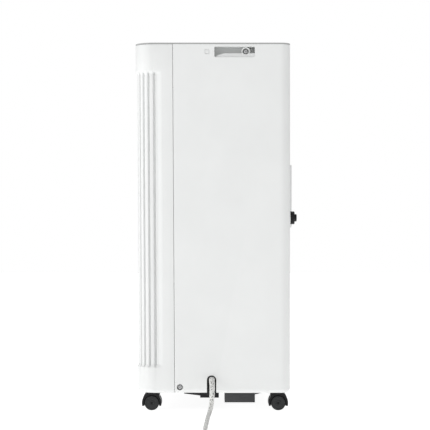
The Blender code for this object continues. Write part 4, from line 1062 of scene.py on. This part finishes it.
# Castors: four black twin-wheel castors. A hood with its stem and axle swivels in the
# base pan, and two dark nylon wheels run free on the axle under it.
WHEEL_RADIUS = 0.0143
POCKET_CLEAR = 0.0010
STEM_BACK = 0.0062
STEM_RADIUS = 0.0040
AXLE_RADIUS = 0.0020
HOOD_STRETCH = 1.09
WEB_HALF = 0.0039
HOOD_ARC = 0.0190
BOSS_EDGE = -0.0148
HOOD_FOOT = -0.0055
boss_top = foot - 0.0003
wheel_nylon = moulded("wheel nylon", (0.024, 0.025, 0.026), 0.55, 0.0007, 0.00010, 0.10)
wheel_nylon.node_tree.nodes["Principled BSDF"].inputs["Specular IOR Level"].default_value = 0.3
for place in ("front_right", "front_left", "rear_right", "rear_left"):
    hood_node = place + "_castor_hood"
    low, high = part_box(hood_node)
    wheel_low, wheel_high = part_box(place + "_wheel_outer")
    hub = Vector(((low.x + high.x) / 2, (wheel_low.y + wheel_high.y) / 2, WHEEL_RADIUS))
    outward = -1 if place.startswith("front") else 1
    stem_y = hub.y - outward * STEM_BACK
    rise = boss_top - hub.z
    tall = rise * HOOD_STRETCH
    ends = [math.asin(HOOD_FOOT / tall), math.asin(rise / tall)]
    hood_line = []
    for step in range(21):
        a = ends[0] + (ends[1] - ends[0]) * step / 20
        hood_line.append((HOOD_ARC * math.cos(a), tall * math.sin(a)))
    meet = math.degrees(math.acos(BOSS_EDGE / HOOD_ARC))
    last = 180 - math.degrees(math.asin(HOOD_FOOT / HOOD_ARC))
    hood_line += [(BOSS_EDGE, rise)] + arc((0, 0), HOOD_ARC, meet, last, 10)
    hood_line = [(hub.y + outward * u, hub.z + v) for u, v in hood_line]
    pockets = []
    for way in (-1, 1):
        start = Vector((hub.x + way * WEB_HALF, hub.y, hub.z))
        pockets.append(rod(start, start + Vector((way * 0.03, 0, 0)), WHEEL_RADIUS + POCKET_CLEAR, 56))
    hood_bm = shaped(prism(hood_line, 0, low.x, high.x), cuts=pockets)
    hood_bm = shaped(
        hood_bm,
        joins=[
            rod((low.x + 0.001, hub.y, hub.z), (high.x - 0.001, hub.y, hub.z), AXLE_RADIUS, 20),
            rod((hub.x, stem_y, boss_top - 0.003), (hub.x, stem_y, high.z), STEM_RADIUS, 28),
        ],
    )
    finished(
        hood_node + "_shell",
        hood_bm,
        black_plastic,
        place + "_castor",
        "black_plastic",
        hood_node,
        edge=0.0006,
        segments=3,
        over=45,
    )
    for wheel in ("outer", "inner"):
        node = f"{place}_wheel_{wheel}"
        low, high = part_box(node)
        half_thick = (high.x - low.x) / 2
        half_profile = [
            (0.0023, half_thick - 0.0008),
            (0.0030, half_thick - 0.0008),
            (0.0034, half_thick - 0.0002),
            (0.0050, half_thick - 0.0002),
            (0.0056, half_thick - 0.0009),
            (0.0108, half_thick - 0.0009),
            (0.0114, half_thick - 0.0001),
            (0.0124, half_thick),
            (0.0134, half_thick - 0.0003),
            (0.0140, half_thick - 0.0010),
            (WHEEL_RADIUS, half_thick - 0.0021),
        ]
        ring = half_profile + [(radius, -high_up) for radius, high_up in reversed(half_profile)]
        wheel_bm = turned(ring, (low + high) / 2, (1, 0, 0), 64, closed=True)
        finished(node + "_tyre", wheel_bm, wheel_nylon, node, "wheel_nylon", node, over=40)

# Sump: a dark grey box screwed under the pan for the last of the water, with a wedge
# rib behind it and a small black drain cap on its spout.
finished(
    "sump_tray",
    copied("sump_box"),
    dark_plastic,
    "cabinet",
    "dark_plastic",
    "sump_box",
    edge=0.0007,
    segments=3,
)
cap_low, cap_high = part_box("bottom_drain_cap")
spout = (cap_low + cap_high) / 2
spout_cap = [
    (0, 0.0097),
    (0.0058, 0.0097),
    (0.0066, 0.0094),
    (0.0070, 0.0087),
    (0.0070, 0.0004),
    (0.0067, 0),
    (0.0051, 0),
    (0.0051, 0.0073),
    (0, 0.0073),
]
spout_bm = turned(spout_cap, (cap_high.x, spout.y, spout.z), (-1, 0, 0), 40)
finished(
    "spout_cap",
    spout_bm,
    black_plastic,
    "bottom_drain_cap",
    "black_plastic",
    "bottom_drain_cap",
    over=50,
)

# Cord bracket: a black foot under the pan with a post up behind the slot that holds
# the lead's sleeve.
finished(
    "lead_bracket",
    copied("cord_bracket"),
    black_plastic,
    "cabinet",
    "black_plastic",
    "cord_bracket",
    edge=0.0006,
    segments=3,
)


# Inside: the base pan and the working parts keep the CAD's shapes, each in the finish
# of the real one: enamel, bare fins, copper, foam trays, black fans and a green board.
def banded(name, colour, gap_shade, roughness, metallic, pitches, depth):
    """A finish with fine lines a pitch apart across the given axes, as fins or a net have; the darker lines
    are painted shade in the gaps between the fins or the net's strands.
    """
    made = bpy.data.materials.new(name)
    made.use_nodes = True
    tree = made.node_tree
    shader = tree.nodes["Principled BSDF"]
    shader.inputs["Metallic"].default_value = metallic
    place = tree.nodes.new("ShaderNodeTexCoord")
    bands = None
    for axis, pitch in pitches:
        wave = tree.nodes.new("ShaderNodeTexWave")
        wave.bands_direction = axis
        wave.inputs["Scale"].default_value = 2 * math.pi / (20 * pitch)
        tree.links.new(place.outputs["Object"], wave.inputs["Vector"])
        if bands is None:
            bands = wave.outputs["Fac"]
        else:
            both = tree.nodes.new("ShaderNodeMath")
            both.operation = "MAXIMUM"
            tree.links.new(bands, both.inputs[0])
            tree.links.new(wave.outputs["Fac"], both.inputs[1])
            bands = both.outputs["Value"]
    tree.links.new(blended(tree, bands, gap_shade, colour), shader.inputs["Base Color"])
    gloss = levels(tree, noise(tree, 80, 3), roughness - 0.06, roughness + 0.06)
    tree.links.new(gloss, shader.inputs["Roughness"])
    tree.links.new(relief(tree, bands, depth), shader.inputs["Normal"])
    return made


foam_white = moulded("white foam", (0.74, 0.74, 0.72), 0.70, 0.0026, 0.00025, 0.03)
enamel = moulded("black enamel", (0.02, 0.02, 0.02), 0.22, 0.004, 0.00004, 0.10, 0.5)
# The darker lines on the fins and the net are painted shade: they stand for the shaded gaps between fins and
# the dark holes between strands.
fins = banded("aluminium fins", (0.72, 0.73, 0.74), (0.22, 0.22, 0.23), 0.35, 1.0, (("X", 0.0018),), 0.0003)
net_lines = (("X", 0.0012), ("Z", 0.0012))
net = banded("filter net", (0.10, 0.105, 0.11), (0.015, 0.015, 0.017), 0.75, 0.0, net_lines, 0.0002)
copper = metal("copper pipe", (0.78, 0.40, 0.24), 0.32, (1, 1, 0.2))
zinc = metal("zinc plated can", (0.45, 0.45, 0.46), 0.36)
board = moulded("circuit board", (0.025, 0.16, 0.06), 0.35, 0.0018, 0.00012, 0.25, 0.4)
for finish, nodes in (
    (black_plastic, ("base_pan", "upper_impeller", "lower_impeller")),
    (enamel, ("compressor",)),
    (fins, ("condenser", "evaporator")),
    (foam_white, ("drip_tray", "upper_scroll", "lower_scroll", "float", "drain_pipe")),
    (zinc, ("upper_fan_motor", "lower_fan_motor", "flap_motor")),
    (copper, ("discharge_pipe", "suction_pipe", "capillary_tube")),
    (net, ("upper_filter", "lower_filter")),
    (board, ("control_board",)),
):
    for node in nodes:
        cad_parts[node].material_slots[0].material = finish
